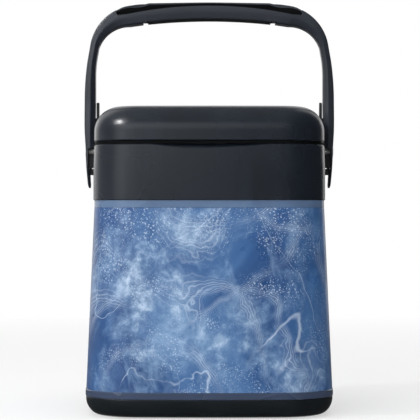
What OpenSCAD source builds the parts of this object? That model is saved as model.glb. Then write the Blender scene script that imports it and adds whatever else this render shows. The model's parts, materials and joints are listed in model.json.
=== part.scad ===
/* [Body] */
// Width over the base pan
body_w = 222.8; // [216:0.4:232]
// Depth over the base pan
body_d = 200.8; // [194:0.4:212]
// Corner radius of the base pan seen from above
corner_r = 50; // [46:1:56]
// Radius of the outward bow of each side
side_bow_r = 2400; // [1500:100:4000]
// Radius of the outward bow of front and back
front_bow_r = 900; // [700:50:2000]
// Height of the feet below the pan
foot_gap = 0.8; // [0.5:0.1:2]
// Height of the pan's top edge
pan_top = 17.4; // [16:0.2:22]
// Radius of the pan's lower edge seen from the front
pan_round = 14; // [10:1:18]
// Height of the lip under the wrap
lip_h = 4.8; // [3:0.2:7]
// How far the lip stands out
lip_out = 0.4; // [0.2:0.1:1]
// Height of the printed wrap
wrap_h = 163.6; // [150:0.2:180]
// How far each side leans in over the wrap
taper = 7.3; // [5:0.1:9]
// Thickness of the wrap
wrap_t = 0.6; // [0.4:0.1:1]
// Height of the bare band above the wrap
band_h = 6.7; // [4:0.1:9]
// Height of the neck inside the collar
neck_h = 11.5; // [9:0.5:15]
// Wall of the outer tub
tub_wall = 2.4; // [2:0.1:3]

/* [Collar and lid] */
// Height of the collar
collar_h = 49.7; // [47:0.1:54]
// Wall of the collar
collar_wall = 3.2; // [3:0.1:4]
// Gap between collar and lid
lid_gap = 4; // [3.4:0.1:5]
// Height of the lid skin
lid_h = 30.8; // [30:0.1:36]
// Height of the lid's straight rim
lid_rim = 7.8; // [7:0.2:10]
// Width of the lid's rounded shoulder
lid_round = 23; // [20:0.5:25]
// Wall of the lid skin
lid_wall = 2.7; // [2.4:0.1:3]
// Depth of the finger scoop in the collar's front edge
scoop_depth = 5.4; // [3:0.1:6]
// Width of the finger scoop
scoop_w = 124; // [90:1:140]
// Inner tub's wall
liner_wall = 2.6; // [2:0.1:3]
// Depth of ice water space below the collar's top
tub_depth = 205; // [190:1:230]

/* [Handle] */
// Height of the handle's top above the floor
handle_top = 377.2; // [374:0.1:390]
// Thickness of the grip
grip_t = 18.2; // [16:0.1:19]
// Front to back width of the grip
grip_w = 24; // [22:0.5:28]
// Radius of the slight crown along the grip's top
crown_r = 1000; // [600:10:1200]
// Radius of the slight crown along the grip's underside
under_r = 541; // [450:10:800]
// Outer radius of the handle's corners
corner_out_r = 43.7; // [41:0.1:45]
// Inner radius of the handle's corners
corner_in_r = 29.6; // [28:0.1:31]
// Radius of each arm's outward bow near the corner
arm_bow_r = 256; // [200:1:400]
// Gap between each arm and the body's widest side
arm_gap = 0.5; // [0.4:0.1:1]
// Thickness of each arm
arm_t = 10.1; // [9:0.1:11]
// Front to back width of each arm
arm_w = 19; // [17:0.5:22]
// Drop of the pivot pins below the collar's top
pivot_drop = 4.7; // [4.5:0.1:5]
// Radius of the pivot pins
pin_r = 2.5; // [2:0.1:3]
// Depth of the channel along the grip's top
channel_depth = 10; // [8:0.5:11]
// Wall on each side of that channel
channel_wall = 3; // [2.5:0.1:4]
// Height of the channel's front wall above the grip's underside
front_wall_h = 13.6; // [12.6:0.1:15]
// Half the length of the channel
channel_reach = 86; // [80:1:88]
// Half the length of the soft grip insert
pad_reach = 61; // [50:1:66]
// Thickness of the soft grip insert
pad_t = 3; // [2:0.1:4]
// Reach of the guide ears above the pivot
ear_reach = 45.5; // [44:0.1:46]
// Thickness of the guide ears
ear_t = 2.4; // [2:0.1:2.6]

/* [Ports] */
// Height of the ports above the collar's lower edge
port_rise = 24.5; // [23:0.1:26]
// Distance between the two hose ports
port_pitch = 20; // [19:0.5:22]
// Bore radius of a hose port
port_r = 4.6; // [4.2:0.1:4.8]
// Depth of a hose port
port_depth = 13.8; // [12:0.1:14]
// Travel of a port valve
valve_travel = 3; // [2:0.1:3.2]
// Travel of the release button
button_travel = 2.4; // [2:0.1:2.6]
// Bore radius of the power inlet
inlet_r = 2.85; // [2.8:0.05:3.1]
// Radius of the power inlet's pin
inlet_pin_r = 1.05; // [1:0.05:1.25]

/* [Pump] */
// Radius of the pump body
pump_r = 19; // [18:0.5:20]
// Height of the motor
motor_h = 30; // [28:0.5:34]
// Radius of the magnet rotor
rotor_r = 7.3; // [6.8:0.1:7.4]
// Radius of the impeller's shaft
shaft_r = 1.2; // [1:0.1:1.5]
// Radius of the impeller
impeller_r = 13.5; // [12:0.5:14.5]
// Number of impeller vanes
vanes = 6; // [4:1:8]
// Outer radius of the hoses inside
hose_r = 4.8; // [4.2:0.1:5]
// Bore radius of the hoses inside
hose_bore_r = 3.2; // [2.8:0.1:3.4]
// Length of the return hose inside
return_hose = 53; // [30:1:80]

/* [Hidden] */
$fn = 48;
slack = 0.3;    // clearance between pieces that are put together
fit = 0.05;     // radial clearance of a turning or sliding fit
eps = 0.01;

// ---- plan outline: a bowed rectangle with round corners, drawn in by an inset ----
half_w = body_w / 2;
half_d = body_d / 2;
side_c = [half_w - side_bow_r, 0];
front_c = [0, half_d - front_bow_r];
side_reach = side_bow_r - corner_r;
front_reach = front_bow_r - corner_r;
between = norm(front_c - side_c);
toward = (front_c - side_c) / between;
along = (between * between + side_reach * side_reach - front_reach * front_reach) / (2 * between);
across = sqrt(side_reach * side_reach - along * along);
corner_c = side_c + along * toward + across * [-toward.y, toward.x];
side_end = atan2(corner_c.y, corner_c.x - side_c.x);
front_end = atan2(corner_c.y - front_c.y, corner_c.x);
corner_steps = 8;
quarter = concat([0], [for (i = [0:corner_steps]) side_end + (front_end - side_end) * i / corner_steps],
    [(front_end + 90) / 2, 90]);
last = len(quarter) - 1;
headings = concat([for (i = [0:last - 1]) quarter[i]], [for (i = [0:last - 1]) 180 - quarter[last - i]],
    [for (i = [0:last - 1]) 180 + quarter[i]], [for (i = [0:last - 1]) 360 - quarter[last - i]]);

function arc_centre(q) = q <= side_end ? side_c : q >= front_end ? front_c : corner_c;
function arc_radius(q) = q <= side_end ? side_bow_r : q >= front_end ? front_bow_r : corner_r;
function plan_point(heading, inset) =
    let (q = acos(abs(cos(heading))), c = arc_centre(q), r = arc_radius(q) - inset)
    [sign(cos(heading)) * (c.x + r * cos(q)), sign(sin(heading)) * (c.y + r * sin(q))];
function plan_ring(inset, z) = [for (a = headings) let (p = plan_point(a, inset)) [p.x, p.y, z]];
// Depth of the outline at a distance x from the middle
function plan_y(x, inset) = front_c.y + sqrt(pow(front_bow_r - inset, 2) - x * x);

// Skin over a list of rings with equal numbers of points, each turning left about the way ahead
module skin(rings, loop = false) {
    m = len(rings[0]);
    n = len(rings);
    bands = loop ? n : n - 1;
    sides = [for (j = [0:bands - 1], k = [0:m - 1], t = [0, 1])
        let (k2 = (k + 1) % m, a = j * m, b = ((j + 1) % n) * m)
        t == 0 ? [a + k, b + k, b + k2] : [a + k, b + k2, a + k2]];
    caps = loop ? [] : [[for (k = [0:m - 1]) k], [for (k = [m - 1:-1:0]) (n - 1) * m + k]];
    polyhedron(points = [for (ring = rings) each ring], faces = concat(sides, caps), convexity = 8);
}
// Shell that follows the plan outline, from a profile of [inset, height] pairs
module shell(profile, loop = false) {
    skin([for (p = profile) plan_ring(p[0], p[1])], loop);
}
// Quarter ellipse of [inset, height] pairs between two angles, 0 being level with its centre
function bend(inset, z, rx, rz, from, to, steps) =
    [for (i = [0:steps]) let (a = from + (to - from) * i / steps) [inset - rx * cos(a), z + rz * sin(a)]];

module along_x(x0, x1, r, y, z) {
    translate([x0, y, z]) rotate([0, 90, 0]) cylinder(r = r, h = x1 - x0);
}
module along_y(y0, y1, r, x, z) {
    translate([x, y0, z]) rotate([-90, 0, 0]) cylinder(r = r, h = y1 - y0);
}
module along_z(z0, z1, r, x, y) {
    translate([x, y, z0]) cylinder(r = r, h = z1 - z0);
}
module box(x0, x1, y0, y1, z0, z1) {
    translate([x0, y0, z0]) cube([x1 - x0, y1 - y0, z1 - z0]);
}
module both_sides() {
    children();
    mirror([1, 0, 0]) children();
}
// Round tube that follows a list of points
module swept_tube(path, r, sides) {
    n = len(path) - 1;
    ahead = [for (i = [0:n]) let (d = path[min(i + 1, n)] - path[max(i - 1, 0)]) d / norm(d)];
    skin([for (i = [0:n]) let (up = abs(ahead[i].x) < 0.9 ? [1, 0, 0] : [0, 1, 0],
        s = cross(ahead[i], up), u = s / norm(s), v = cross(ahead[i], u))
        [for (k = [0:sides - 1]) path[i] + r * (cos(k * 360 / sides) * u + sin(k * 360 / sides) * v)]]);
}
// Coil spring along Y
module coil_spring(x, z, y0, y1, coil_r, wire_r, turns) {
    steps = turns * 12;
    span = y1 - y0 - 2 * wire_r;
    swept_tube([for (i = [0:steps]) let (a = i * 30)
        [x + coil_r * cos(a), y0 + wire_r + span * i / steps, z + coil_r * sin(a)]], wire_r, 6);
    echo(spring_gap = span / turns - 2 * wire_r);
}
function cut_corners(p) = concat([p[0]], [for (i = [0:len(p) - 2], t = [0.25, 0.75])
    p[i] * (1 - t) + p[i + 1] * t], [p[len(p) - 1]]);

// ---- heights and insets ----
tub_floor = pan_top + 2.6;
least_foam = 4;                             // under the inner tub
wrap_z = pan_top + lip_h;
band_z = wrap_z + wrap_h;
tub_need = tub_floor + slack + least_foam + slack + liner_wall + tub_depth;
collar_z = max(band_z + band_h, tub_need - collar_h);     // a deeper tub lifts the collar
neck_z = collar_z + neck_h;
collar_top = collar_z + collar_h;
lid_z = collar_top + lid_gap;
lid_top = lid_z + lid_h;
pivot_z = collar_top - pivot_drop;
wrap_in = 0.2;
function wrap_inset(z) = wrap_in + taper * (z - wrap_z) / wrap_h;
function seat_inset(z) = wrap_inset(z) + wrap_t;
band_inset = wrap_inset(band_z) + 0.1;
collar_inset = wrap_inset(band_z) - 0.9;
collar_inner = collar_inset + collar_wall;
neck_inset = collar_inner + slack;
neck_inner = neck_inset + tub_wall;
lid_inset = collar_inset + 0.8;
liner_inset = collar_inset + 16.6;         // outer face of the inner tub at its rim
liner_draft = 4.3;
rim_inset = collar_inset + 6.3;            // edge of the inner tub's flange
rim_t = 1.4;
water_floor = collar_top - tub_depth;
liner_floor = water_floor - liner_wall;
water_inset = liner_inset + liner_wall;
rear_wall = half_d - liner_inset;          // back of the inner tub at its rim
cut_y = rear_wall - 17.2;                  // cuts through the back start here
past_y = half_d + 20;                      // and end here
pan_rise = pan_top - foot_gap - 1.1;
panel_z = collar_z + port_rise;            // middle of the port panel
port_z = panel_z - 6;                      // hose ports

// ---- feet and screws ----
foot_x = 72;
foot_y = 62;
foot_r = 10;
foot_h = 2.8;
screw_r = 1.9;
head_r = 3.9;
head_h = 2.5;
head_z = foot_h + 1.6;
boss_top = tub_floor + 9;
module at_feet() {
    for (x = [-foot_x, foot_x], y = [-foot_y, foot_y]) translate([x, y, 0]) children();
}
module rubber_feet() {
    color("#26282b") at_feet() cylinder(r = foot_r, h = foot_h);
}
module base_screws() {
    color("silver") at_feet() difference() {
        union() {
            along_z(head_z, head_z + head_h, head_r, 0, 0);
            along_z(head_z + head_h - eps, boss_top - 3, screw_r, 0, 0);
        }
        translate([0, 0, head_z - eps]) cylinder(r = 1.6, h = 1.4, $fn = 6);
    }
}
module base_shell() {
    outer = bend(pan_round, foot_gap + pan_rise, pan_round, pan_rise, -90, 0, 6);
    inner = bend(pan_round + 2.8, foot_gap + pan_rise, pan_round, pan_rise - 3, 0, -90, 5);
    color("#1d2429") difference() {
        union() {
            shell(concat(outer, [[0, pan_top], [2.8, pan_top]], inner));
            at_feet() along_z(foot_gap + 1, pan_top, foot_r - 3, 0, 0);
            at_feet() along_z(foot_gap + 1, foot_h + 2.6, foot_r + 2.5, 0, 0);
        }
        at_feet() along_z(-1, foot_h, foot_r + slack, 0, 0);
        at_feet() along_z(foot_h - eps, head_z + head_h, head_r + slack, 0, 0);
        at_feet() along_z(head_z, pan_top + 1, screw_r + slack, 0, 0);
    }
}

// ---- tubs ----
module outer_tub() {
    wall = tub_wall + wrap_t;
    color("#627799") difference() {
        union() {
            shell([[0.1, pan_top], [-lip_out, pan_top + 0.5], [-lip_out, wrap_z - 0.5], [0.1, wrap_z],
                [seat_inset(wrap_z), wrap_z], [seat_inset(band_z), band_z], [band_inset, band_z],
                [band_inset, collar_z], [neck_inset, collar_z], [neck_inset, neck_z],
                [neck_inner, neck_z], [neck_inner, collar_z - 1],
                [wrap_inset(band_z) + wall, band_z - 4], [wrap_inset(wrap_z) + wall, wrap_z],
                [wrap_inset(wrap_z) + wall + 1, tub_floor]]);
            at_feet() along_z(tub_floor - 1, boss_top, foot_r - 4.5, 0, 0);
        }
        at_feet() along_z(pan_top - 1, boss_top - 2, screw_r, 0, 0);
        box(-panel_x - 5, panel_x + 5, cut_y, half_d, panel_z0 - 3.5, neck_z + 1);
    }
}
module label_wrap() {
    gap = 0.05;
    color("#4d76ad") shell([[seat_inset(wrap_z + gap) - gap, wrap_z + gap],
        [wrap_inset(wrap_z + gap), wrap_z + gap], [wrap_inset(band_z - gap), band_z - gap],
        [seat_inset(band_z - gap) - gap, band_z - gap]], loop = true);
}
module insulation_foam() {
    wall = tub_wall + wrap_t + slack;
    z0 = tub_floor + slack;
    z1 = collar_top - 3.8;
    color("#e8e2cf") difference() {
        shell([[wrap_inset(wrap_z) + wall + 1, z0], [wrap_inset(wrap_z) + wall, wrap_z + 2],
            [wrap_inset(band_z) + wall, band_z - 5], [neck_inner + slack, collar_z - 1],
            [neck_inner + slack, collar_top - 9.5], [collar_inner + 5.4, z1], [liner_inset - slack, z1],
            [liner_inset + liner_draft - slack, liner_floor + 7],
            [liner_inset + liner_draft + 2.5, liner_floor + 2],
            [liner_inset + liner_draft + 8, liner_floor - slack]]);
        at_feet() along_z(z0 - 1, boss_top + slack, foot_r - 4.5 + slack, 0, 0);
        both_sides() along_x(pin_end - 4, half_w, pocket_r + 4, 0, pivot_z);
        box(-panel_x - 5, panel_x + 5, cut_y, half_d, panel_z - 24, collar_top);
    }
}
module inner_tub() {
    color("#d9dee2") difference() {
        shell([[liner_inset + liner_draft + 8, liner_floor],
            [liner_inset + liner_draft + 2.5, liner_floor + 2],
            [liner_inset + liner_draft, liner_floor + 7], [liner_inset, collar_top],
            [rim_inset, collar_top], [rim_inset, collar_top + rim_t],
            [water_inset, collar_top + rim_t], [water_inset + liner_draft, water_floor + 7],
            [water_inset + liner_draft + 2.5, water_floor + 2],
            [water_inset + liner_draft + 8, water_floor]]);
        for (x = port_xs) along_y(cut_y, half_d, barrel_r + slack, x, port_z);
        along_y(cut_y, half_d, grommet_r, inlet_x, panel_z);
    }
}

// ---- collar ----
pocket_r = ear_reach + 1.5;                 // pocket in the sides that the guide ears turn in
side_x = half_w - collar_inset;             // widest place of the collar
pocket_floor = side_x - 3.7;
pin_end = pocket_floor - 8;
panel_x = 58;
panel_h = 40;
panel_z0 = panel_z - panel_h / 2;
panel_z1 = panel_z + panel_h / 2;
panel_y = half_d - collar_inset + 1.6;      // flat face that the port panel sits on
hinge_y = half_d - 4;
hinge_z = collar_top + 2;
hinge_x = 45;
knuckle_r = 4;
knuckle_w = 14;
hinge_pin_r = 1.6;
scoop_h = scoop_depth * cos(45);            // depth of the scoop square to its slope
scoop_r = (scoop_w * scoop_w / 4 + scoop_h * scoop_h) / (2 * scoop_h);
module scoop_cut() {
    y0 = -(half_d - collar_inset);
    translate([0, y0, collar_top - scoop_depth]) rotate([45, 0, 0])
        translate([0, 20, scoop_r]) rotate([90, 0, 0]) cylinder(r = scoop_r, h = 60, $fn = 180);
}
// Plate in each side, round below the pivot and straight above it, between two heights
module side_plates(x0, x1, r, z0, z1) {
    both_sides() intersection() {
        union() {
            along_x(x0, x1, r, 0, pivot_z);
            box(x0, x1, -r, r, pivot_z, z1);
        }
        box(0, half_w, -half_d, half_d, z0, z1);
    }
}
// Pocket in each side, open above, that the guide ears turn in
module pockets(floor_x, spare = 0) {
    side_plates(floor_x, half_w, pocket_r + spare, pivot_z - 27, lid_top);
}
module collar() {
    lean = 0.8;
    round_top = [[collar_inset + lean, collar_top - 1.2], [collar_inset + lean + 0.4, collar_top - 0.3],
        [collar_inset + lean + 1.2, collar_top]];
    inner = panel_y - 8;
    color("#33383e") difference() {
        union() {
            shell(concat([[collar_inset + 0.4, collar_z], [collar_inset, collar_z + 0.6],
                [collar_inset, collar_z + 28]], round_top, [[liner_inset - slack, collar_top],
                [liner_inset - slack, collar_top - 2.6], [collar_inner + 6, collar_top - 2.6],
                [collar_inner, collar_top - 9.2], [collar_inner, collar_z]]), loop = true);
            side_plates(pocket_floor - 3, pocket_floor + 1, pocket_r + 2, neck_z + 0.5, collar_top - 1);
            both_sides() along_x(pin_end, pocket_floor, pin_r + 3, 0, pivot_z - 2);
            box(-panel_x - 4, panel_x + 4, inner, panel_y, panel_z0 - 3, panel_z1 + 1);
            both_sides() for (x = [hinge_x - knuckle_w / 2 - 7 - slack, hinge_x + knuckle_w / 2 + slack]) {
                along_x(x, x + 7, knuckle_r, hinge_y, hinge_z);
                box(x, x + 7, half_d - collar_inner, hinge_y + 2, panel_z1 + slack, hinge_z - 1.5);
            }
        }
        scoop_cut();
        pockets(pocket_floor);
        both_sides() along_x(pin_end - 1, half_w, pin_r, 0, pivot_z);
        both_sides() along_x(0, half_w, hinge_pin_r, hinge_y, hinge_z);
        box(-panel_x + 8, panel_x - 8, cut_y, half_d + 1, block_z0 - 0.5, block_z1 + 0.5);
        at_panel_corners() along_y(inner - 1, half_d, plate_screw_r, 0, 0);
    }
}

// ---- lid ----
shoulder_z = lid_z + lid_rim;
shoulder_h = lid_h - lid_rim - 0.4;
shoulder_in = lid_inset + lid_round;
module lid_shell() {
    w = lid_wall;
    color("#33383e") difference() {
        union() {
            shell(concat([[shoulder_in + 6, shoulder_z + shoulder_h - w + 0.2]],
                bend(shoulder_in, shoulder_z, lid_round - w, shoulder_h - w, 90, 0, 5),
                [[lid_inset + w, lid_z], [lid_inset + 0.7, lid_z], [lid_inset, lid_z + 0.8]],
                bend(shoulder_in, shoulder_z, lid_round, shoulder_h, 0, 90, 7),
                [[lid_inset + 37, lid_top]]));
            side_plates(pocket_floor - 2.8, pocket_floor + 0.5, pocket_r + 2, lid_z, shoulder_z + 8);
            both_sides() {
                along_x(hinge_x - knuckle_w / 2, hinge_x + knuckle_w / 2, knuckle_r, hinge_y, hinge_z);
                box(hinge_x - knuckle_w / 2, hinge_x + knuckle_w / 2, half_d - lid_inset - 3,
                    hinge_y, lid_z + 0.3, hinge_z + knuckle_r);
            }
        }
        pockets(pocket_floor);
        both_sides() along_x(0, half_w, hinge_pin_r + fit, hinge_y, hinge_z);
    }
}
plug_inset = water_inset + 2;
plug_z = collar_top - 6.2;
module lid_liner() {
    edge = lid_inset + 1.2;
    z = lid_z - 1.6;
    color("#22262a") difference() {
        shell([[plug_inset + 2.5, plug_z], [plug_inset + 0.7, plug_z + 1.5], [plug_inset, z], [edge, z],
            [edge, lid_z], [plug_inset + 2.4, lid_z], [plug_inset + 3.2, plug_z + 2.4]]);
        both_sides() box(pocket_floor - 2.8, half_w, -half_d, half_d, 0, lid_top);
    }
}
module lid_foam() {
    w = lid_wall + slack;
    color("#e8e2cf") difference() {
        shell(concat([[plug_inset + 3.5, plug_z + 2.7], [plug_inset + 2.7, lid_z + slack],
            [lid_inset + w, lid_z + slack]],
            bend(shoulder_in, shoulder_z, lid_round - w, shoulder_h - w, 0, 90, 5)));
        pockets(pocket_floor - 2.8 - slack, 2 + slack);
        box(-half_w, half_w, plan_y(60, lid_inset) - 5, half_d, 0, hinge_z + knuckle_r + slack);
    }
}
module lid_gasket() {
    z0 = collar_top + rim_t;
    z1 = lid_z - 1.6;
    color("#101214") shell([[rim_inset + 9, z0], [rim_inset + 2, z0], [rim_inset + 2, z1],
        [rim_inset + 9, z1]], loop = true);
}
module hinge_pins() {
    color("silver") both_sides()
        along_x(hinge_x - knuckle_w / 2 - 6.7, hinge_x + knuckle_w / 2 + 6.7, hinge_pin_r, hinge_y, hinge_z);
}

// ---- handle: rings of a rounded section between an outer and an inner line in the XZ plane ----
arm_in = side_x + arm_gap - 0.4;
arm_out = arm_in + arm_t;
corner_reach = arm_out - 4.6 - corner_out_r;      // outer corner centre from the middle
corner_out_c = [corner_reach, handle_top - 5 - corner_out_r];
corner_in_c = [corner_reach + 7.1, corner_out_c.y - 4.5];
fan_c = (corner_out_c + corner_in_c) / 2;
bow_z = corner_out_c.y - 44;
straight_z = bow_z + 22;
arm_in_bow_r = 125;
function ray(beta, centre, r) = let (u = [cos(beta), sin(beta)], d = centre - fan_c, f = d * u)
    fan_c + (f + sqrt(r * r - d * d + f * f)) * u;
function top_out(x) = [x, handle_top - crown_r + sqrt(crown_r * crown_r - x * x)];
function top_in(x) = [x, handle_top - grip_t - under_r + sqrt(under_r * under_r - x * x)];
function arm_out_at(z) = [arm_out - arm_bow_r + sqrt(pow(arm_bow_r, 2) - pow(z - bow_z, 2)), z];
function arm_in_at(z) = let (rise = max(z - straight_z, 0))
    [arm_in - arm_in_bow_r + sqrt(pow(arm_in_bow_r, 2) - pow(rise, 2)), z];
// Arm below the bow: height over the pivot, outer line, inner line, half the width
arm_rows = [[47, 0, 0, 0], [25, 0.1, 0.4, 1], [12.5, -0.4, 1.9, 1.5], [3.5, -1, 3.7, 1.5],
    [-5.5, -1.3, 5, 1.5], [-15.5, -1.8, 5.4, 0.5], [-24.5, -2.5, 5.2, -1.5], [-30.5, -3, 4.7, -3.5],
    [-33.5, -3.9, 4.9, -5.5]];
half_arm = arm_w / 2;
half_grip = grip_w / 2;
half_channel = half_grip - channel_wall;
stations = concat(
    [for (r = [len(arm_rows) - 1:-1:0]) let (a = arm_rows[r])
        [[arm_out + a[1], pivot_z + a[0]], [arm_in + a[2], pivot_z + a[0]], half_arm + a[3]]],
    [for (z = [bow_z + 10, bow_z + 24, bow_z + 37]) [arm_out_at(z), arm_in_at(z), half_arm]],
    [for (beta = [12:12:84]) [ray(beta, corner_out_c, corner_out_r), ray(beta, corner_in_c, corner_in_r),
        half_arm + (half_grip - half_arm) * (beta - 12) / 72]],
    [for (x = [56:-14:0]) [top_out(x), top_in(x), half_grip]]);
function section(s) = let (mid = (s[0] + s[1]) / 2, half = (s[0] - s[1]) / 2, h = norm(half), out = half / h,
        w = s[2], r = min(3.2, 0.6 * h, 0.6 * w))
    [for (q = [0:3], t = [0:2]) let (a = q * 90 + t * 45, su = q == 0 || q == 3 ? 1 : -1, sv = q < 2 ? 1 : -1,
        u = su * (h - r) + r * cos(a), v = sv * (w - r) + r * sin(a))
        [mid.x + u * out.x, v, mid.y + u * out.y]];
function mirrored(s) = [[-s[0].x, s[0].y], [-s[1].x, s[1].y], s[2]];
// Room above a line along the grip, whose ends rise over the last step
module channel_space(from_y, to_y, line) {
    steps = 12;
    end = channel_reach + 1;
    floor_line = [for (i = [-steps:steps]) let (low = line(channel_reach * i / steps))
        abs(i) == steps ? (low + top_out(low.x)) / 2 : low];
    translate([0, to_y, 0]) rotate([90, 0, 0]) linear_extrude(height = to_y - from_y)
        polygon(concat(floor_line, [[end, handle_top + 5], [-end, handle_top + 5]]));
}
module pad_space(gap) {
    xs = [for (i = [-5:5]) (pad_reach + gap) * i / 5];
    wide = half_grip - 1.5 + gap;
    translate([0, wide, 0]) rotate([90, 0, 0]) linear_extrude(height = 2 * wide)
        polygon(concat([for (x = xs) top_in(x) - [0, slack + gap]],
            [for (i = [10:-1:0]) top_in(xs[i]) + [0, pad_t + gap]]));
}
ear_r = 4.5;
block_top = pivot_z - pin_r - fit;
block_bottom = pivot_z - 15;
head_x = arm_out - 2.2;                     // under the pins' heads
clip_r = pin_r - 0.8;                       // neck of a pin, in its clip
module handle_bail() {
    whole = concat(stations, [for (i = [len(stations) - 2:-1:0]) mirrored(stations[i])]);
    color("#33383e") difference() {
        skin([for (s = whole) section(s)]);
        channel_space(-half_channel, half_channel, function (x) top_out(x) - [0, channel_depth]);
        channel_space(-half_grip - 1, 1 - half_channel, function (x) top_in(x) + [0, front_wall_h]);
        pad_space(0.1);
        both_sides() {
            ear_foot(arm_in - 2);
            along_x(arm_in, arm_out + 2, pin_r + fit, 0, pivot_z);
            along_x(head_x - slack, arm_out + 2, pin_r + 2 + slack, 0, pivot_z);
            box(arm_out - 1.9, arm_out + 5, -4.5, 4.5, pivot_z + 20, bow_z + 28);
            along_x(arm_out - 1.9, arm_out + 5, 4.5, 0, pivot_z + 20);
        }
    }
}
// Foot of a guide ear, in its socket in the arm
module ear_foot(from_x) {
    box(from_x, arm_in + 3, -ear_r, ear_r, pivot_z + 24.5, pivot_z + 31);
}
module guide_ears() {
    ear_x = pocket_floor + 0.6;
    color("#16181a") both_sides() {
        along_x(ear_x, ear_x + ear_t, ear_r, 0, pivot_z + ear_reach - ear_r);
        box(ear_x, ear_x + ear_t, -ear_r, ear_r, pivot_z + 24.5, pivot_z + ear_reach - ear_r);
        ear_foot(ear_x);
    }
}
module grip_pad() {
    color("#26282b") pad_space(0);
}
module friction_blocks() {
    step_z = pivot_z - 5.6;
    color("#101214") both_sides() difference() {
        union() {
            box(arm_in - 0.6, arm_in + 5, -7, 7, block_bottom, step_z);
            box(arm_in - 0.6, arm_in + 4.4, -7, 7, step_z - eps, block_top);
        }
        along_x(arm_in - 2, arm_in + 6, pin_r + fit, 0, pivot_z);
    }
}
module pivot_pins() {
    color("silver") both_sides() {
        along_x(pin_end - 1.6, pin_end + eps, clip_r, 0, pivot_z);
        along_x(pin_end, head_x + 0.5, pin_r, 0, pivot_z);
        along_x(head_x, arm_out - 0.5, pin_r + 2, 0, pivot_z);
    }
}
module pivot_washers() {
    color("#e8e6dc") both_sides() difference() {
        along_x(pocket_floor, arm_in - 1, 8, 0, pivot_z);
        along_x(0, half_w, pin_r, 0, pivot_z);
    }
}
module pin_clips() {
    color("silver") both_sides() difference() {
        along_x(pin_end - 1.3, pin_end - 0.3, pin_r + 2, 0, pivot_z);
        along_x(0, half_w, clip_r, 0, pivot_z);
        box(0, half_w, -half_d, half_d, pivot_z + 1.85, collar_top);
    }
}

// ---- port panel at the back of the collar ----
coupling_x = 26;
port_xs = [coupling_x - port_pitch / 2, coupling_x + port_pitch / 2];
inlet_x = -34;
stem_r = 5.3;                               // threaded stem of the power inlet
plate_t = 2.4;
plate_round = 5;
plate_screw_r = 1.2;
plate_screw_in = 4;                         // from the panel's edges
inlet_tail = 9;                             // stem of the power inlet behind the panel
plate_y = panel_y + plate_t;                // outer face of the panel
face_y = plate_y + 2;                       // outer face of the coupling
block_y = rear_wall + 2.3;
half_block = port_pitch / 2 + 13;
block_z0 = port_z - 9;
block_z1 = panel_z + 17;
barrel_r = 6.5;
barrel_y = rear_wall - liner_wall - 16.6;   // inner ends of the barrels
seat_y = face_y - port_depth;
bore_y = seat_y + valve_travel + slack;     // inner end of the bore that takes a hose nipple
seat_t = 1.5;
seat_r = 2.6;
chamber_r = port_r - 0.4;
chamber_y = barrel_y + 2;
hose_y = barrel_y + 5.5;
latch_y = face_y - 9.3;
latch_t = 2;
button_z = panel_z + 10;
button_w = 16;
button_h = 8;
cap_y = face_y - 1.2;                       // back of the button's cap
module rounded_plate(w, h, r, t) {
    linear_extrude(height = t) union() {
        square([w - 2 * r, h], center = true);
        square([w, h - 2 * r], center = true);
        for (x = [r - w / 2, w / 2 - r], y = [r - h / 2, h / 2 - r]) translate([x, y]) circle(r = r);
    }
}
// Rounded plate standing in the XZ plane, from y0 to y0 + t
module standing_plate(x, z, w, h, r, y0, t) {
    translate([x, y0 + t, z]) rotate([90, 0, 0]) rounded_plate(w, h, r, t);
}
module at_panel_corners() {
    for (x = [-panel_x + plate_screw_in, panel_x - plate_screw_in],
        z = [panel_z0 + plate_screw_in, panel_z1 - plate_screw_in]) translate([x, 0, z]) children();
}
module port_panel() {
    color("#22262a") difference() {
        standing_plate(0, panel_z, 2 * panel_x, panel_h, plate_round, panel_y, plate_t);
        box(coupling_x - half_block - 0.2, coupling_x + half_block + 0.2, cut_y, past_y,
            block_z0 - 0.2, block_z1 + 0.2);
        along_y(cut_y, past_y, stem_r + 0.2, inlet_x, panel_z);
        at_panel_corners() along_y(cut_y, past_y, plate_screw_r + 0.4, 0, 0);
    }
}
module panel_screws() {
    color("silver") at_panel_corners() difference() {
        union() {
            along_y(panel_y - 6.5, plate_y, plate_screw_r, 0, 0);
            along_y(plate_y, plate_y + 1.5, plate_screw_r + 1.6, 0, 0);
        }
        translate([0, plate_y + 0.6, 0]) rotate([-90, 0, 0]) cylinder(r = 1.3, h = 2, $fn = 6);
    }
}
module coupling_housing() {
    color("#2b2f34") difference() {
        union() {
            box(coupling_x - half_block, coupling_x + half_block, block_y, face_y, block_z0, block_z1);
            for (x = port_xs) {
                along_y(barrel_y, block_y + 1, barrel_r, x, port_z);
                along_z(spigot_z, port_z - 3, hose_bore_r, x, hose_y);
            }
        }
        for (x = port_xs) {
            along_y(bore_y, face_y + 1, port_r, x, port_z);
            along_y(seat_y, bore_y + eps, chamber_r, x, port_z);
            along_y(seat_y - seat_t - 1, seat_y + eps, seat_r, x, port_z);
            along_y(chamber_y, seat_y - seat_t, chamber_r, x, port_z);
            along_y(face_y - 5, face_y - 3, port_r + 1.3, x, port_z);
            along_z(spigot_z - 1, port_z, hose_bore_r - 1.2, x, hose_y);
        }
        box(coupling_x - 3.5, coupling_x + 3.5, latch_y - 0.7, face_y + 1, port_z - 4.5, port_z + 4.5);
        box(coupling_x - 5.3, coupling_x + 5.3, latch_y - slack, latch_y + latch_t + slack,
            port_z + 2.5, button_z + 6.4);
        box(coupling_x - 3.3, coupling_x + 3.3, block_y + 2, face_y + 1, button_z - 3.3, button_z + 3.3);
        box(coupling_x - button_w / 2 - slack, coupling_x + button_w / 2 + slack,
            cap_y - button_travel - 1.4, face_y + 1,
            button_z - button_h / 2 - slack, button_z + button_h / 2 + slack);
    }
}
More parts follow.
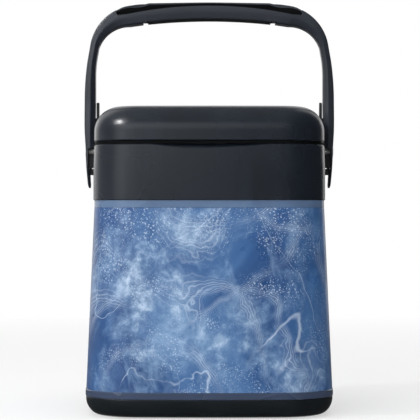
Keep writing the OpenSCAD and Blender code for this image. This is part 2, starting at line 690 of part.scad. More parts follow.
module port_seals() {
    color("#101214") for (x = port_xs) translate([x, face_y - 4, port_z]) rotate([90, 0, 0])
        rotate_extrude() translate([port_r + 0.64, 0]) circle(r = 0.62, $fn = 24);
}
disc_t = 2.2;
module poppet(x) {
    disc_y = seat_y - seat_t - 0.1 - disc_t;
    along_y(disc_y, disc_y + disc_t, chamber_r - 0.2, x, port_z);
    along_y(disc_y + disc_t - eps, seat_y + valve_travel, 1.5, x, port_z);
    along_y(disc_y - 6, disc_y + eps, 1.2, x, port_z);
}
module supply_poppet() {
    color("#e8e6dc") poppet(port_xs[0]);
}
module return_poppet() {
    color("#e8e6dc") poppet(port_xs[1]);
}
wire_r = 0.3;
module valve_spring(x) {
    coil_spring(x, port_z, chamber_y, seat_y - seat_t - 0.1 - disc_t, 2.6, wire_r, 7);
}
module supply_spring() {
    color("silver") valve_spring(port_xs[0]);
}
module return_spring() {
    color("silver") valve_spring(port_xs[1]);
}
// The button's tail has a 45 degree wedge that lifts the latch plate as the button goes in
tail_y = block_y + 2.8 + button_travel;
module release_button() {
    y0 = latch_y - 0.3;
    color("#3f78bf") union() {
        box(coupling_x - button_w / 2, coupling_x + button_w / 2, cap_y, face_y + 0.9,
            button_z - button_h / 2, button_z + button_h / 2);
        translate([coupling_x - 3, 0, 0]) rotate([90, 0, 90]) linear_extrude(height = 6)
            polygon([[tail_y, button_z - 3], [face_y - 1, button_z - 3], [face_y - 1, button_z + 2.9],
                [y0 + 4.9, button_z + 2.9], [y0, button_z - 2], [tail_y, button_z - 2]]);
    }
}
module button_spring() {
    color("silver") coil_spring(coupling_x, button_z - 0.2, block_y + 2, tail_y, 1.6, wire_r, 2);
}
module latch_plate() {
    window_top = button_z - 2 + latch_t + 0.5;
    color("silver") difference() {
        box(coupling_x - 5, coupling_x + 5, latch_y, latch_y + latch_t, port_z + 2.8, window_top + 1.4);
        box(coupling_x - 3.3, coupling_x + 3.3, latch_y - 1, latch_y + latch_t + 1, button_z - 6, window_top);
    }
}
module power_inlet() {
    color("#16181a") difference() {
        union() {
            along_y(plate_y, plate_y + 1.8, 8, inlet_x, panel_z);
            along_y(panel_y - inlet_tail, plate_y + eps, stem_r, inlet_x, panel_z);
        }
        along_y(panel_y - inlet_tail + 2, plate_y + 3, inlet_r, inlet_x, panel_z);
        along_y(panel_y - inlet_tail - 1, panel_y - inlet_tail + 3, inlet_pin_r, inlet_x, panel_z);
    }
}
module inlet_pin() {
    color("silver") along_y(panel_y - inlet_tail, plate_y + 0.5, inlet_pin_r, inlet_x, panel_z);
}
module inlet_nut() {
    color("silver") difference() {
        translate([inlet_x, panel_y - 2.5, panel_z]) rotate([-90, 0, 0]) cylinder(r = 8.5, h = 2.5, $fn = 6);
        along_y(cut_y, past_y, stem_r, inlet_x, panel_z);
    }
}

// ---- hoses and lead inside ----
pump_x = port_xs[0] - 12;
pump_y = hose_y - pump_r - 8.5;
pump_feet = 4.4;
volute_z = water_floor + pump_feet;
volute_h = 11;
body_z = volute_z + volute_h;
motor_z = body_z + motor_h;
cap_t = 3;
cap_z = motor_z + cap_t;
gland_h = 5;
outlet_z = volute_z + volute_h / 2;         // middle of the outlet
outlet_r = 4.4;
elbow_top = outlet_z + 4.5;
spigot_h = 11;
outlet_top = elbow_top + spigot_h;
hose_foot = elbow_top + 2;
hose_end = port_z - barrel_r - 0.5;         // hoses end under the barrels
spigot_z = hose_end - 12;                   // lower ends of the barrels' spigots
module hose(x, z0, z1) {
    difference() {
        along_z(z0, z1, hose_r, x, hose_y);
        along_z(z0 - 1, z1 + 1, hose_bore_r, x, hose_y);
    }
}
module supply_tube() {
    color("#b9c3cc") hose(port_xs[0], hose_foot, hose_end);
}
module return_tube() {
    color("#b9c3cc") hose(port_xs[1], hose_end - return_hose, hose_end);
}
grommet_r = 3.6;
gland_x = pump_x - 10;
gland_y = pump_y + 8;
lead_r = 1.7;
lead_lane_y = rear_wall - 13.2;
lead_route = [[gland_x, gland_y, cap_z + gland_h], [gland_x, gland_y, cap_z + 20],
    [inlet_x + 10, lead_lane_y - 4, cap_z + 40],
    [inlet_x, lead_lane_y, cap_z + 65], [inlet_x, lead_lane_y, panel_z - 16],
    [inlet_x, lead_lane_y + 1, panel_z], [inlet_x, lead_lane_y + 12, panel_z],
    [inlet_x, panel_y - inlet_tail, panel_z]];
module pump_lead() {
    color("#16181a") swept_tube(cut_corners(cut_corners(lead_route)), lead_r, 8);
}
module lead_grommet() {
    wall_y = plan_y(inlet_x, liner_inset);
    color("#101214") difference() {
        along_y(wall_y - 4.2, wall_y + 1.6, grommet_r - 0.1, inlet_x, panel_z);
        along_y(cut_y, past_y, lead_r + 0.15, inlet_x, panel_z);
    }
}

// ---- pump ----
tunnel_r = rotor_r + 0.7;                   // space that the rotor turns in
tunnel_top = motor_z - 6;
rotor_top = tunnel_top - 3;
shaft_top = tunnel_top + 3;
stator_r = tunnel_r + 2;
motor_wall = 2.5;
module pump_body() {
    color("#2b2f34") difference() {
        along_z(body_z, motor_z, pump_r, pump_x, pump_y);
        difference() {
            along_z(body_z + 2, motor_z + 1, pump_r - motor_wall, pump_x, pump_y);
            along_z(body_z, motor_z + 2, stator_r, pump_x, pump_y);
        }
        along_z(body_z - 1, tunnel_top, tunnel_r, pump_x, pump_y);
        along_z(tunnel_top - 1, shaft_top, shaft_r, pump_x, pump_y);
    }
}
module motor_cap() {
    color("#2b2f34") difference() {
        union() {
            along_z(motor_z, cap_z, pump_r, pump_x, pump_y);
            along_z(cap_z - eps, cap_z + gland_h, 4, gland_x, gland_y);
        }
        along_z(motor_z - 1, cap_z + gland_h - 1, lead_r - 0.5, gland_x, gland_y);
    }
}
module pump_stator() {
    color("#b46a35") difference() {
        along_z(body_z + 2.2, motor_z - 4, pump_r - motor_wall - 0.2, pump_x, pump_y);
        along_z(body_z, motor_z, stator_r + 0.2, pump_x, pump_y);
    }
}
module pump_cover() {
    out_x = port_xs[0];
    volute_r = pump_r - 3.5;
    foot_ring = pump_r - 5;
    bore_r = outlet_r / 2;
    color("#3a4046") difference() {
        union() {
            along_z(volute_z, body_z, pump_r, pump_x, pump_y);
            along_y(pump_y, hose_y, outlet_r - 0.2, out_x, outlet_z);
            along_z(outlet_z - 4.2, elbow_top, outlet_r, out_x, hose_y);
            along_z(elbow_top - 1, outlet_top, hose_bore_r, out_x, hose_y);
            translate([pump_x, pump_y, 0]) for (a = [30:120:270])
                along_z(water_floor, volute_z + 1, 2.5, foot_ring * cos(a), foot_ring * sin(a));
        }
        along_z(volute_z + 2, body_z + 1, volute_r, pump_x, pump_y);
        along_z(volute_z - 1, volute_z + 3, 5, pump_x, pump_y);
        along_y(pump_y, hose_y, bore_r, out_x, outlet_z);
        along_z(outlet_z, outlet_top + 1, hose_bore_r - 1.2, out_x, hose_y);
    }
}
module impeller() {
    disc_z = body_z - 2.2;
    vane_h = 5;
    color("#d9dee2") translate([pump_x, pump_y, 0]) difference() {
        union() {
            along_z(disc_z, disc_z + 1.4, impeller_r, 0, 0);
            along_z(disc_z + 1, rotor_top, rotor_r, 0, 0);
            along_z(disc_z - vane_h, disc_z + 1, shaft_r + 2.2, 0, 0);
            for (i = [0:vanes - 1]) rotate([0, 0, i * 360 / vanes])
                box(shaft_r + 1.6, impeller_r - 0.4, -0.7, 0.7, disc_z - vane_h, disc_z + 0.2);
        }
        along_z(disc_z - vane_h - 1, rotor_top + 1, shaft_r + fit, 0, 0);
    }
}
module impeller_shaft() {
    color("silver") along_z(volute_z + 3.4, shaft_top, shaft_r, pump_x, pump_y);
}
module intake_filter() {
    filter_gap = 0.4;
    filter_t = 6.6;
    filter_top = body_z - 3;
    color("#5c6670") difference() {
        along_z(water_floor, filter_top, pump_r + filter_gap + filter_t, pump_x, pump_y);
        along_z(water_floor - 1, filter_top + 1, pump_r + filter_gap, pump_x, pump_y);
        box(port_xs[0] - outlet_r - 0.6, port_xs[0] + outlet_r + 0.6, pump_y + 6, pump_y + 2 * pump_r,
            water_floor - 1, filter_top + 1);
    }
}

rubber_feet();
base_screws();
base_shell();
outer_tub();
label_wrap();
insulation_foam();
inner_tub();
collar();
lid_shell();
lid_liner();
lid_foam();
lid_gasket();
hinge_pins();
handle_bail();
grip_pad();
guide_ears();
friction_blocks();
pivot_pins();
pivot_washers();
pin_clips();
port_panel();
panel_screws();
coupling_housing();
port_seals();
supply_poppet();
return_poppet();
supply_spring();
return_spring();
release_button();
latch_plate();
button_spring();
power_inlet();
inlet_pin();
inlet_nut();
supply_tube();
return_tube();
pump_lead();
lead_grommet();
pump_body();
motor_cap();
pump_stator();
pump_cover();
impeller();
impeller_shaft();
intake_filter();
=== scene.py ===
# Ice water cooler with a carry handle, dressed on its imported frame
import bmesh
import bpy
import json
from math import acos, atan2, copysign, cos, degrees, pi, radians, sin, sqrt
from mathutils import Matrix, Vector


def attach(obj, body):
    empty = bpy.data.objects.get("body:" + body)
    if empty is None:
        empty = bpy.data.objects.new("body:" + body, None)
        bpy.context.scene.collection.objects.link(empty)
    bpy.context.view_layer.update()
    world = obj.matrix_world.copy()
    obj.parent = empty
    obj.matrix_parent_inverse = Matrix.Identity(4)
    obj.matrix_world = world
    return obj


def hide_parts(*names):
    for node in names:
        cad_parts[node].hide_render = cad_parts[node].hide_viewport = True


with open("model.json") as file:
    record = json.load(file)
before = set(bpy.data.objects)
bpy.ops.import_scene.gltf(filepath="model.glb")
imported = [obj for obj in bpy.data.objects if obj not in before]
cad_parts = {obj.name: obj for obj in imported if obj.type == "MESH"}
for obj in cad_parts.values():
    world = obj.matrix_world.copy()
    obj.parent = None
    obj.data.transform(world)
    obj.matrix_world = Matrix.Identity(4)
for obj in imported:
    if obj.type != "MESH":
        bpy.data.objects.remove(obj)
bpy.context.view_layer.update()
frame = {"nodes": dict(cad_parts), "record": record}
nodes = frame["nodes"]
print("frame loaded:", len(nodes), "nodes")


class Sock:
    # one output socket of a material's tree; expressions on it add Math nodes
    def __init__(self, tree, out=None):
        self.tree, self.out = tree, out

    def node(self, kind, settings=None, inputs=None, out=0):
        n = self.tree.nodes.new("ShaderNode" + kind)
        for key, value in (settings or {}).items():
            if key == "stops":
                ramp = n.color_ramp
                while len(ramp.elements) < len(value):
                    ramp.elements.new(0.5)
                for element, (place, colour) in zip(ramp.elements, value):
                    element.position = place
                    element.color = (*colour, 1)
            else:
                setattr(n, key, value)
        for key, value in (inputs or {}).items():
            if isinstance(value, Sock):
                self.tree.links.new(value.out, n.inputs[key])
            elif isinstance(value, tuple) and len(value) == 3 and n.inputs[key].type == "RGBA":
                n.inputs[key].default_value = (*value, 1)
            else:
                n.inputs[key].default_value = value
        return Sock(self.tree, n.outputs[out])

    def maths(self, operation, a, b):
        return self.node("Math", {"operation": operation}, {0: a, 1: b})

    def __add__(self, other):
        return self.maths("ADD", self, other)

    def __radd__(self, other):
        return self.maths("ADD", other, self)

    def __sub__(self, other):
        return self.maths("SUBTRACT", self, other)

    def __rsub__(self, other):
        return self.maths("SUBTRACT", other, self)

    def __mul__(self, other):
        return self.maths("MULTIPLY", self, other)

    def __rmul__(self, other):
        return self.maths("MULTIPLY", other, self)

    def most(self, other):
        return self.maths("MAXIMUM", self, other)

    def single(self, operation):
        return self.node("Math", {"operation": operation}, {0: self})

    def range(self, low, high, toLow=0.0, toHigh=1.0):
        # straight line from low..high to toLow..toHigh, held at the ends
        return self.node("MapRange", {}, {"Value": self, "From Min": low, "From Max": high,
                                          "To Min": toLow, "To Max": toHigh})

    def step(self, low, high):
        return self.node("MapRange", {"interpolation_type": "SMOOTHSTEP"},
                         {"Value": self, "From Min": low, "From Max": high})

    def blend(self, first, second):
        # colour or link first where self is 0, second where it is 1
        return self.node("Mix", {"data_type": "RGBA"}, {0: self, 6: first, 7: second}, out=2)

    def at(self, scale=(1.0, 1.0, 1.0), move=(0.0, 0.0, 0.0), turn=(0.0, 0.0, 0.0)):
        return self.node("Mapping", {}, {"Vector": self, "Scale": scale, "Location": move,
                                         "Rotation": turn})

    def cells(self, scale, feature="F1"):
        return self.node("TexVoronoi", {"feature": feature}, {"Vector": self, "Scale": scale})

    def noise(self, scale, detail=3.0, rough=0.5, distortion=0.0):
        return self.node("TexNoise", {}, {"Vector": self, "Scale": scale, "Detail": detail,
                                          "Roughness": rough, "Distortion": distortion})


def emptyTree(owner):
    owner.use_nodes = True
    owner.node_tree.nodes.clear()
    return owner.node_tree


def linked(name, data):
    made = bpy.data.objects.new(name, data)
    bpy.context.scene.collection.objects.link(made)
    return made


def srgb(r, g, b):
    # a colour as read off a screen, 0 to 255, as Blender's linear values
    return tuple(c / 12.92 if c <= 0.04045 else ((c + 0.055) / 1.055) ** 2.4
                 for c in (r / 255, g / 255, b / 255))


def material(name, **fixed):
    # fixed: numbers and colours set on the shader's own sockets
    made = bpy.data.materials.new(name)
    tree = emptyTree(made)
    shader = tree.nodes.new("ShaderNodeBsdfPrincipled")
    output = tree.nodes.new("ShaderNodeOutputMaterial")
    tree.links.new(shader.outputs[0], output.inputs[0])
    for key, value in fixed.items():
        socket = shader.inputs[key.replace("_", " ")]
        socket.default_value = (*value, 1) if isinstance(value, tuple) else value
    place = Sock(tree).node("TexCoord", out="Object")
    return made, shader, place


def wire(shader, colour=None, roughness=None, bump=None, depth=0.0001, metallic=None):
    tree = shader.id_data
    for key, value in (("Base Color", colour), ("Roughness", roughness), ("Metallic", metallic)):
        if value is not None:
            tree.links.new(value.out, shader.inputs[key])
    if bump is not None:
        raised = Sock(tree).node("Bump", {}, {"Height": bump, "Distance": depth, "Strength": 1.0})
        tree.links.new(raised.out, shader.inputs["Normal"])


def mouldedPlastic(name, look):
    # fine spark-eroded texture, faint flow marks in the colour and rubbed patches in the gloss
    made, shader, p = material(name, IOR=look.get("ior", 1.5), Coat_Weight=look.get("coat", 0.0),
                               Coat_Roughness=0.12, Specular_IOR_Level=look.get("specular", 0.5))
    flow = p.at(scale=(1, 1, 0.35)).noise(look.get("flowScale", 22), 4, 0.55, 0.6)
    patch = p.noise(look.get("patchScale", 9), 3, 0.6)
    scuff = p.at(scale=(1, 1, 9), turn=(0.3, 0.5, 0.2)).noise(90, 6, 0.7).step(0.66, 0.78)
    dust = p.noise(1400, 2, 0.6).step(0.62, 0.8)
    tone = flow.range(0.3, 0.7).blend(look["dark"], look["pale"])
    tone = (scuff * look.get("scuff", 0.12)).blend(tone, look["worn"])
    tone = (dust * 0.1).blend(tone, look["worn"])
    # darker below the given heights, in the foot colour: painted shade
    if "foot" in look:
        low = 1 - p.node("SeparateXYZ", {}, {"Vector": p}, out="Z").step(*look["footHeights"])
        tone = low.blend(tone, look["foot"])
    rough = patch.range(0.3, 0.7, look["rough"] - 0.05, look["rough"] + 0.06) + scuff * 0.08
    grain = p.noise(look.get("grainScale", 2600), 3, 0.65)
    ripple = p.noise(60, 2, 0.5)
    wire(shader, tone, rough, grain * look.get("grain", 0.6) + ripple * 0.6, look.get("depth", 0.00005))
    return made


def softRubber(name, look):
    # matt skin with a fine pitted texture and a bloom of paler dust
    made, shader, p = material(name, Specular_IOR_Level=look.get("specular", 0.35))
    bloom = p.noise(40, 5, 0.65)
    pits = p.cells(look.get("pitScale", 1500))
    tone = bloom.range(0.35, 0.7).blend(look["dark"], look["pale"])
    wire(shader, tone, bloom.range(0.3, 0.7, 0.62, 0.8), pits + bloom * 0.4, look.get("depth", 0.00008))
    return made


def brushedSteel(name, look):
    # drawn lines along the length and small heat-tinted patches
    made, shader, p = material(name)
    lines = p.at(scale=look["stretch"]).noise(900, 4, 0.6)
    patch = p.noise(120, 3, 0.5)
    tone = (lines * 0.55 + patch * 0.45).range(0.3, 0.7).blend(look["dark"], look["pale"])
    shader.inputs["Metallic"].default_value = look.get("metal", 1.0)
    wire(shader, tone, lines.range(0.3, 0.7, look["rough"] - 0.06, look["rough"] + 0.1), lines, 0.00002)
    return made


def closedFoam(name, look):
    made, shader, p = material(name, Specular_IOR_Level=0.25)
    cells = p.cells(look["cellScale"], "DISTANCE_TO_EDGE")
    cloud = p.noise(30, 4, 0.6)
    wall = cells.step(0.02, 0.16)
    tone = wall.blend(look["dark"], look["pale"])
    tone = (cloud.range(0.4, 0.7) * 0.35).blend(tone, look["worn"])
    wire(shader, tone, cloud.range(0.3, 0.7, 0.75, 0.9), wall + cloud * 0.5, 0.00025)
    return made


def clearVinyl(name, look):
    # slightly cloudy hose wall with mould lines along it
    made, shader, p = material(name, Coat_Weight=0.3, Coat_Roughness=0.15)
    cloud = p.at(scale=(1, 1, 0.25)).noise(160, 4, 0.55)
    tone = cloud.range(0.3, 0.7).blend(look["dark"], look["pale"])
    wire(shader, tone, cloud.range(0.3, 0.7, 0.22, 0.34), cloud, 0.00008)
    return made


def woundCopper(name, look):
    # enamelled wire laid in turns round the motor
    made, shader, p = material(name, Coat_Weight=0.6, Coat_Roughness=0.15)
    turns = p.node("TexWave", {"wave_type": "BANDS", "bands_direction": "Z"},
                   {"Vector": p, "Scale": 380.0, "Distortion": 0.6, "Detail": 1.0}, out="Fac")
    patch = p.noise(80, 3, 0.5)
    shader.inputs["Metallic"].default_value = 0.85
    wire(shader, (turns * 0.7 + patch * 0.3).blend(look["dark"], look["pale"]),
         patch.range(0.3, 0.7, 0.28, 0.42), turns, 0.0003)
    return made


def frostedFilm(name, look):
    # printed film: deep water under drifting frost, bundles of fine strands, hair lines, specks and bubbles
    made, shader, p = material(name, Coat_Weight=0.2, Coat_Roughness=0.1, Specular_IOR_Level=0.4)
    drift = p.at(move=look["move"]).noise(8.5, 5, 0.58, 0.7)
    water = p.node("ValToRGB", {"stops": look["water"]}, {"Fac": drift})
    wander = p.node("VectorMath", {"operation": "SCALE"}, {
        0: p.node("TexNoise", {}, {"Vector": p, "Scale": 14.0, "Detail": 4.0}, out="Color"),
        "Scale": 0.035})
    bent = p.node("VectorMath", {"operation": "ADD"}, {0: p, 1: wander})

    def nearTo(height, value, inner, outer):
        # 1 along the line where a noise has one value, fading out on both sides of it
        return 1 - (height - value).single("ABSOLUTE").step(inner, outer)

    def stretched(turn, place):
        # place drawn out along a slanting direction, so that a noise's contours become long flowing curves
        return bent.at(turn=turn).at(scale=(1.35, 1.35, 0.4), move=place)

    def bundle(turn, place, scale, value, half, count):
        # fine strands that run side by side in a band along one of a slow noise's contours
        height = stretched(turn, place).noise(scale, 1.2, 0.4, 0.2)
        fine = 1 - ((height * count).single("FRACT") - 0.5).single("ABSOLUTE").step(0.0, 0.2)
        return nearTo(height, value, 0.0, half) * (fine * 0.7 + 0.15)

    ragged = bent.noise(60, 8, 0.72)
    frostField = bent.at(move=look["frostMove"]).noise(9.5, 7, 0.62, 0.3) * 0.72 + ragged * 0.28
    frost = frostField.step(0.47, 0.63) * (0.45 + ragged.step(0.35, 0.6) * 0.55)
    core = frostField.step(0.56, 0.68)
    wisps = bent.at(scale=(1.0, 1.0, 0.3), turn=(0.2, 0.7, 0.4)).noise(34, 7, 0.7, 1.0).step(0.54, 0.72)
    strands = bundle((0.0, 0.7, 0.0), (0.2, 0.6, 0.5), 6.5, 0.5, 0.03, 130.0)
    strands = strands.most(bundle((0.0, -0.9, 0.3), (0.9, 0.3, 0.1), 7.0, 0.48, 0.022, 160.0))
    strands = strands.most(bundle((0.3, 1.3, 0.0), (0.4, 0.8, 0.7), 6.0, 0.53, 0.024, 150.0))
    hair = nearTo(stretched((0.0, 0.4, 0.2), (0.6, 0.1, 0.3)).noise(8, 1.2, 0.4, 0.2), 0.52, 0.0,
                  0.0026)
    hair = hair.most(nearTo(
        stretched((0.0, -0.6, 0.0), (0.1, 0.4, 0.6)).noise(7, 1.2, 0.4, 0.2), 0.48, 0.0, 0.0024))
    fade = p.at(move=(0.4, 0.9, 0.2)).noise(16, 4, 0.6).step(0.4, 0.62)
    sprinkle = p.at(move=(0.5, 0.2, 0.7)).noise(20, 5, 0.62)
    specks = None
    for scale, start in ((330.0, 0.5), (560.0, 0.46)):
        dots = p.cells(scale)
        layer = (1 - dots.step(0.14, 0.3)) * sprinkle.step(start, start + 0.12)
        specks = layer if specks is None else layer.most(specks)
    bubbles = p.cells(150.0)
    rims = (1 - bubbles.step(0.2, 0.26)) * bubbles.step(0.12, 0.18) * sprinkle.step(0.56, 0.66)
    tone = (frost * 0.62).blend(water, look["frost"])
    tone = (core * ragged.step(0.4, 0.62) * 0.7).blend(tone, look["white"])
    tone = (wisps * 0.42).blend(tone, look["frost"])
    tone = (strands * (fade * 0.85 + 0.15) * 0.6).blend(tone, look["white"])
    tone = (hair * fade * 0.5).blend(tone, look["white"])
    tone = ((specks * 0.7 + rims * 0.3) * 0.8).blend(tone, look["white"])
    sheen = p.noise(30, 3, 0.5)
    wire(shader, tone, sheen.range(0.3, 0.7, 0.26, 0.36), sheen + p.noise(900, 2, 0.5) * 0.15, 0.00005)
    return made


finishes = {
    "charcoal": mouldedPlastic("charcoalPlastic", {
        "dark": srgb(20, 26, 33), "pale": srgb(27, 33, 42), "worn": srgb(72, 77, 86), "rough": 0.25,
        "scuff": 0.05, "grain": 0.4}),
    # a rougher, lighter copy of the charcoal for the handle; the extra lightness is painted light
    "handle": mouldedPlastic("handlePaintedLightCharcoal", {
        "dark": srgb(33, 38, 46), "pale": srgb(41, 46, 55), "worn": srgb(88, 92, 100), "rough": 0.34,
        "scuff": 0.08}),
    "pan_plastic": mouldedPlastic("panPlastic", {
        "dark": srgb(17, 22, 27), "pale": srgb(23, 30, 35), "worn": srgb(58, 62, 68), "rough": 0.38,
        "scuff": 0.06, "specular": 0.35}),
    # its foot colour darkens the lip between the pan and the wrap as painted shade
    "tub_plastic": mouldedPlastic("slateBluePlastic", {
        "dark": srgb(80, 102, 134), "pale": srgb(92, 116, 148), "worn": srgb(140, 158, 186), "rough": 0.26,
        "coat": 0.2, "scuff": 0.05, "grain": 0.25, "foot": srgb(58, 70, 94), "footHeights": (0.03, 0.06)}),
    "wrap_print": frostedFilm("frostedFilm", {
        "water": [(0.34, srgb(34, 70, 120)), (0.46, srgb(44, 84, 136)), (0.56, srgb(64, 104, 154)),
                  (0.68, srgb(92, 130, 174))],
        "frost": srgb(140, 172, 206), "white": srgb(210, 226, 242), "move": (0.3, 0.0, 0.9),
        "frostMove": (0.7, 0.2, 0.1)}),
    "liner_plastic": mouldedPlastic("linerPlastic", {
        "dark": srgb(196, 204, 210), "pale": srgb(214, 220, 225), "worn": srgb(236, 240, 242), "rough": 0.3,
        "coat": 0.2, "grain": 0.2}),
    "dark_plastic": mouldedPlastic("darkPlastic", {
        "dark": srgb(22, 24, 27), "pale": srgb(31, 34, 37), "worn": srgb(78, 81, 86), "rough": 0.45}),
    "foam": closedFoam("insulatingFoam", {
        "dark": srgb(190, 180, 148), "pale": srgb(232, 226, 206), "worn": srgb(205, 190, 150),
        "cellScale": 700.0}),
    "rubber": softRubber("blackRubber", {"dark": srgb(18, 19, 21), "pale": srgb(34, 36, 39)}),
    "steel": brushedSteel("drawnSteel", {
        "dark": srgb(150, 154, 160), "pale": srgb(214, 217, 221), "rough": 0.26,
        "stretch": (0.08, 1.0, 1.0)}),
    # near white and hardly metallic: painted highlight that makes the pins show bright in the shaded notch
    "pins": brushedSteel("pinPaintedGlint", {
        "dark": srgb(240, 242, 244), "pale": srgb(251, 252, 253), "rough": 0.3, "stretch": (0.08, 1.0, 1.0),
        "metal": 0.05}),
    # near black and almost without gloss: painted shade for the inside of the handle's channel and the gap
    # under the lid
    "channel": softRubber("channelPaintedShade", {
        "dark": srgb(5, 6, 7), "pale": srgb(11, 12, 14), "specular": 0.1}),
    "nylon": mouldedPlastic("naturalNylon", {
        "dark": srgb(206, 200, 184), "pale": srgb(226, 222, 208), "worn": srgb(240, 238, 230),
        "rough": 0.4}),
    "button_blue": mouldedPlastic("buttonBlue", {
        "dark": srgb(34, 84, 160), "pale": srgb(48, 104, 184), "worn": srgb(130, 168, 214), "rough": 0.34}),
    "hose": clearVinyl("clearVinyl", {"dark": srgb(166, 178, 188), "pale": srgb(196, 206, 214)}),
    "cable": softRubber("cableJacket", {
        "dark": srgb(16, 17, 18), "pale": srgb(32, 33, 35), "pitScale": 2600}),
    "copper": woundCopper("woundCopper", {"dark": srgb(118, 58, 24), "pale": srgb(206, 124, 66)}),
}
slotOf = {part["node"]: part["material_slot"] for part in frame["record"]["subparts"]}
bodyOf = {n: b for b, members in frame["record"]["behaviour"]["bodies"].items() for n in members}
for nodeName, nodeObject in nodes.items():
    nodeObject.data.materials.clear()
    nodeObject.data.materials.append(finishes[slotOf[nodeName]])
# the pins get the near-white finish, a painted highlight
nodes["pivot_pins"].data.materials[0] = finishes["pins"]
print("finishes made:", len(finishes))


mm = 0.001          # pieces are drawn in millimetres and made metres when they are finished


def vertsOf(geom):
    return [g for g in geom if isinstance(g, bmesh.types.BMVert)]


def outward(side, near, far):
    # limits in x between two distances from the middle, on the left (-1) or the right (1)
    return sorted((side * near, side * far))


def ringWalls(bm, rings, closed=False):
    # walls through rings of points of equal length: the first ring is drawn, each next one extruded from it
    count = len(rings[0])
    first = [bm.verts.new(point) for point in rings[0]]
    edges = [bm.edges.new((first[i], first[(i + 1) % count])) for i in range(count)]
    ring = first
    for row in rings[1:]:
        made = bmesh.ops.extrude_edge_only(bm, edges=edges)["geom"]
        index = {v: i for i, v in enumerate(ring)}
        fresh = [None] * count
        for v in vertsOf(made):
            below = next(e.other_vert(v) for e in v.link_edges if e.other_vert(v) in index)
            fresh[index[below]] = v
        for v, point in zip(fresh, row):
            v.co = point
        ring = fresh
        edges = [bm.edges.get((ring[i], ring[(i + 1) % count])) for i in range(count)]
    if closed:
        for old, new in zip(first, ring):
            new.co = old.co
        bmesh.ops.remove_doubles(bm, verts=first + ring, dist=0.0001)
    else:
        bmesh.ops.holes_fill(bm, edges=[e for e in bm.edges if e.is_boundary], sides=0)


def block(bm, x, y, z):
    # box from pairs of limits
    size = Matrix.Diagonal((x[1] - x[0], y[1] - y[0], z[1] - z[0], 1))
    place = Matrix.Translation(((x[0] + x[1]) / 2, (y[0] + y[1]) / 2, (z[0] + z[1]) / 2))
    return bmesh.ops.create_cube(bm, size=1, matrix=place @ size)["verts"]


def rod(bm, axis, start, end, radius, across, steps=64, topRadius=None):
    # closed cylinder along an axis; across gives its other two coordinates in order
    a = "xyz".index(axis)
    centre = list(across)
    centre.insert(a, (start + end) / 2)
    turn = {"x": Matrix.Rotation(pi / 2, 4, "Y"), "y": Matrix.Rotation(-pi / 2, 4, "X"),
            "z": Matrix.Identity(4)}[axis]
    return bmesh.ops.create_cone(bm, cap_ends=True, cap_tris=False, segments=steps, radius1=radius,
                                 radius2=radius if topRadius is None else topRadius, depth=end - start,
                                 matrix=Matrix.Translation(centre) @ turn)["verts"]


def bareObject(bm, name):
    bmesh.ops.recalc_face_normals(bm, faces=bm.faces)
    mesh = bpy.data.meshes.new(name)
    bm.to_mesh(mesh)
    bm.free()
    return linked(name, mesh)


def cut(bm, *cutters, operation="DIFFERENCE"):
    # bm with the cutters' solids taken away, as a new bmesh
    whole = bareObject(bm, "whole")
    tools = [bareObject(c, "cutter") for c in cutters]
    for tool in tools:
        change = whole.modifiers.new("cut", "BOOLEAN")
        change.operation, change.solver, change.object = operation, "EXACT", tool
    bpy.context.view_layer.update()
    changed = bpy.data.meshes.new_from_object(whole.evaluated_get(bpy.context.evaluated_depsgraph_get()))
    out = bmesh.new()
    out.from_mesh(changed)
    bpy.data.meshes.remove(changed)
    for o in [whole, *tools]:
        mesh = o.data
        bpy.data.objects.remove(o)
        bpy.data.meshes.remove(mesh)
    bmesh.ops.remove_doubles(out, verts=out.verts, dist=0.002)
    return out


def join(bm, *others):
    for other in others:
        mesh = bpy.data.meshes.new("part")
        bmesh.ops.recalc_face_normals(other, faces=other.faces)
        other.to_mesh(mesh)
        other.free()
        bm.from_mesh(mesh)
        bpy.data.meshes.remove(mesh)
    return bm


def finish(bm, name, body, slotName, stands, bevel=0.0, angle=38, levels=0, recalc=True, look=None):
    # bm becomes a piece that rides on body and stands for the CAD nodes in stands
    if recalc:
        bmesh.ops.recalc_face_normals(bm, faces=bm.faces)
    bmesh.ops.scale(bm, vec=(mm, mm, mm), verts=bm.verts)
    mesh = bpy.data.meshes.new(name)
    bm.to_mesh(mesh)
    bm.free()
    mesh.shade_smooth()
    mesh.materials.append(finishes[look or slotName])
    made = linked(name, mesh)
    if bevel:
        edge = made.modifiers.new("edge", "BEVEL")
        edge.width, edge.segments, edge.limit_method = bevel * mm, 2, "ANGLE"
        edge.angle_limit = radians(angle)
        edge.use_clamp_overlap = True
        edge.harden_normals = False
    else:
        mesh.set_sharp_from_angle(angle=radians(angle))
    if levels:
        smooth = made.modifiers.new("smooth", "SUBSURF")
        smooth.levels = smooth.render_levels = levels
    even = made.modifiers.new("even", "WEIGHTED_NORMAL")
    even.keep_sharp = True
    even.weight = 60
    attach(made, body)
    if stands:
        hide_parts(*stands)
    return made


def refined(nodeName, bevel=0.25, angle=38, flat=0.6):
    # a merged copy of a CAD node with its edges eased, standing for that node
    bm = bmesh.new()
    bm.from_mesh(nodes[nodeName].data)
    bmesh.ops.scale(bm, vec=(1 / mm, 1 / mm, 1 / mm), verts=bm.verts)
    bmesh.ops.remove_doubles(bm, verts=bm.verts, dist=0.002)
    bmesh.ops.dissolve_limit(bm, angle_limit=radians(flat), verts=bm.verts, edges=bm.edges,
                             use_dissolve_boundaries=False)
    return finish(bm, nodeName + "_finished", bodyOf[nodeName], slotOf[nodeName], [nodeName],
                  bevel=bevel, angle=angle, recalc=False)


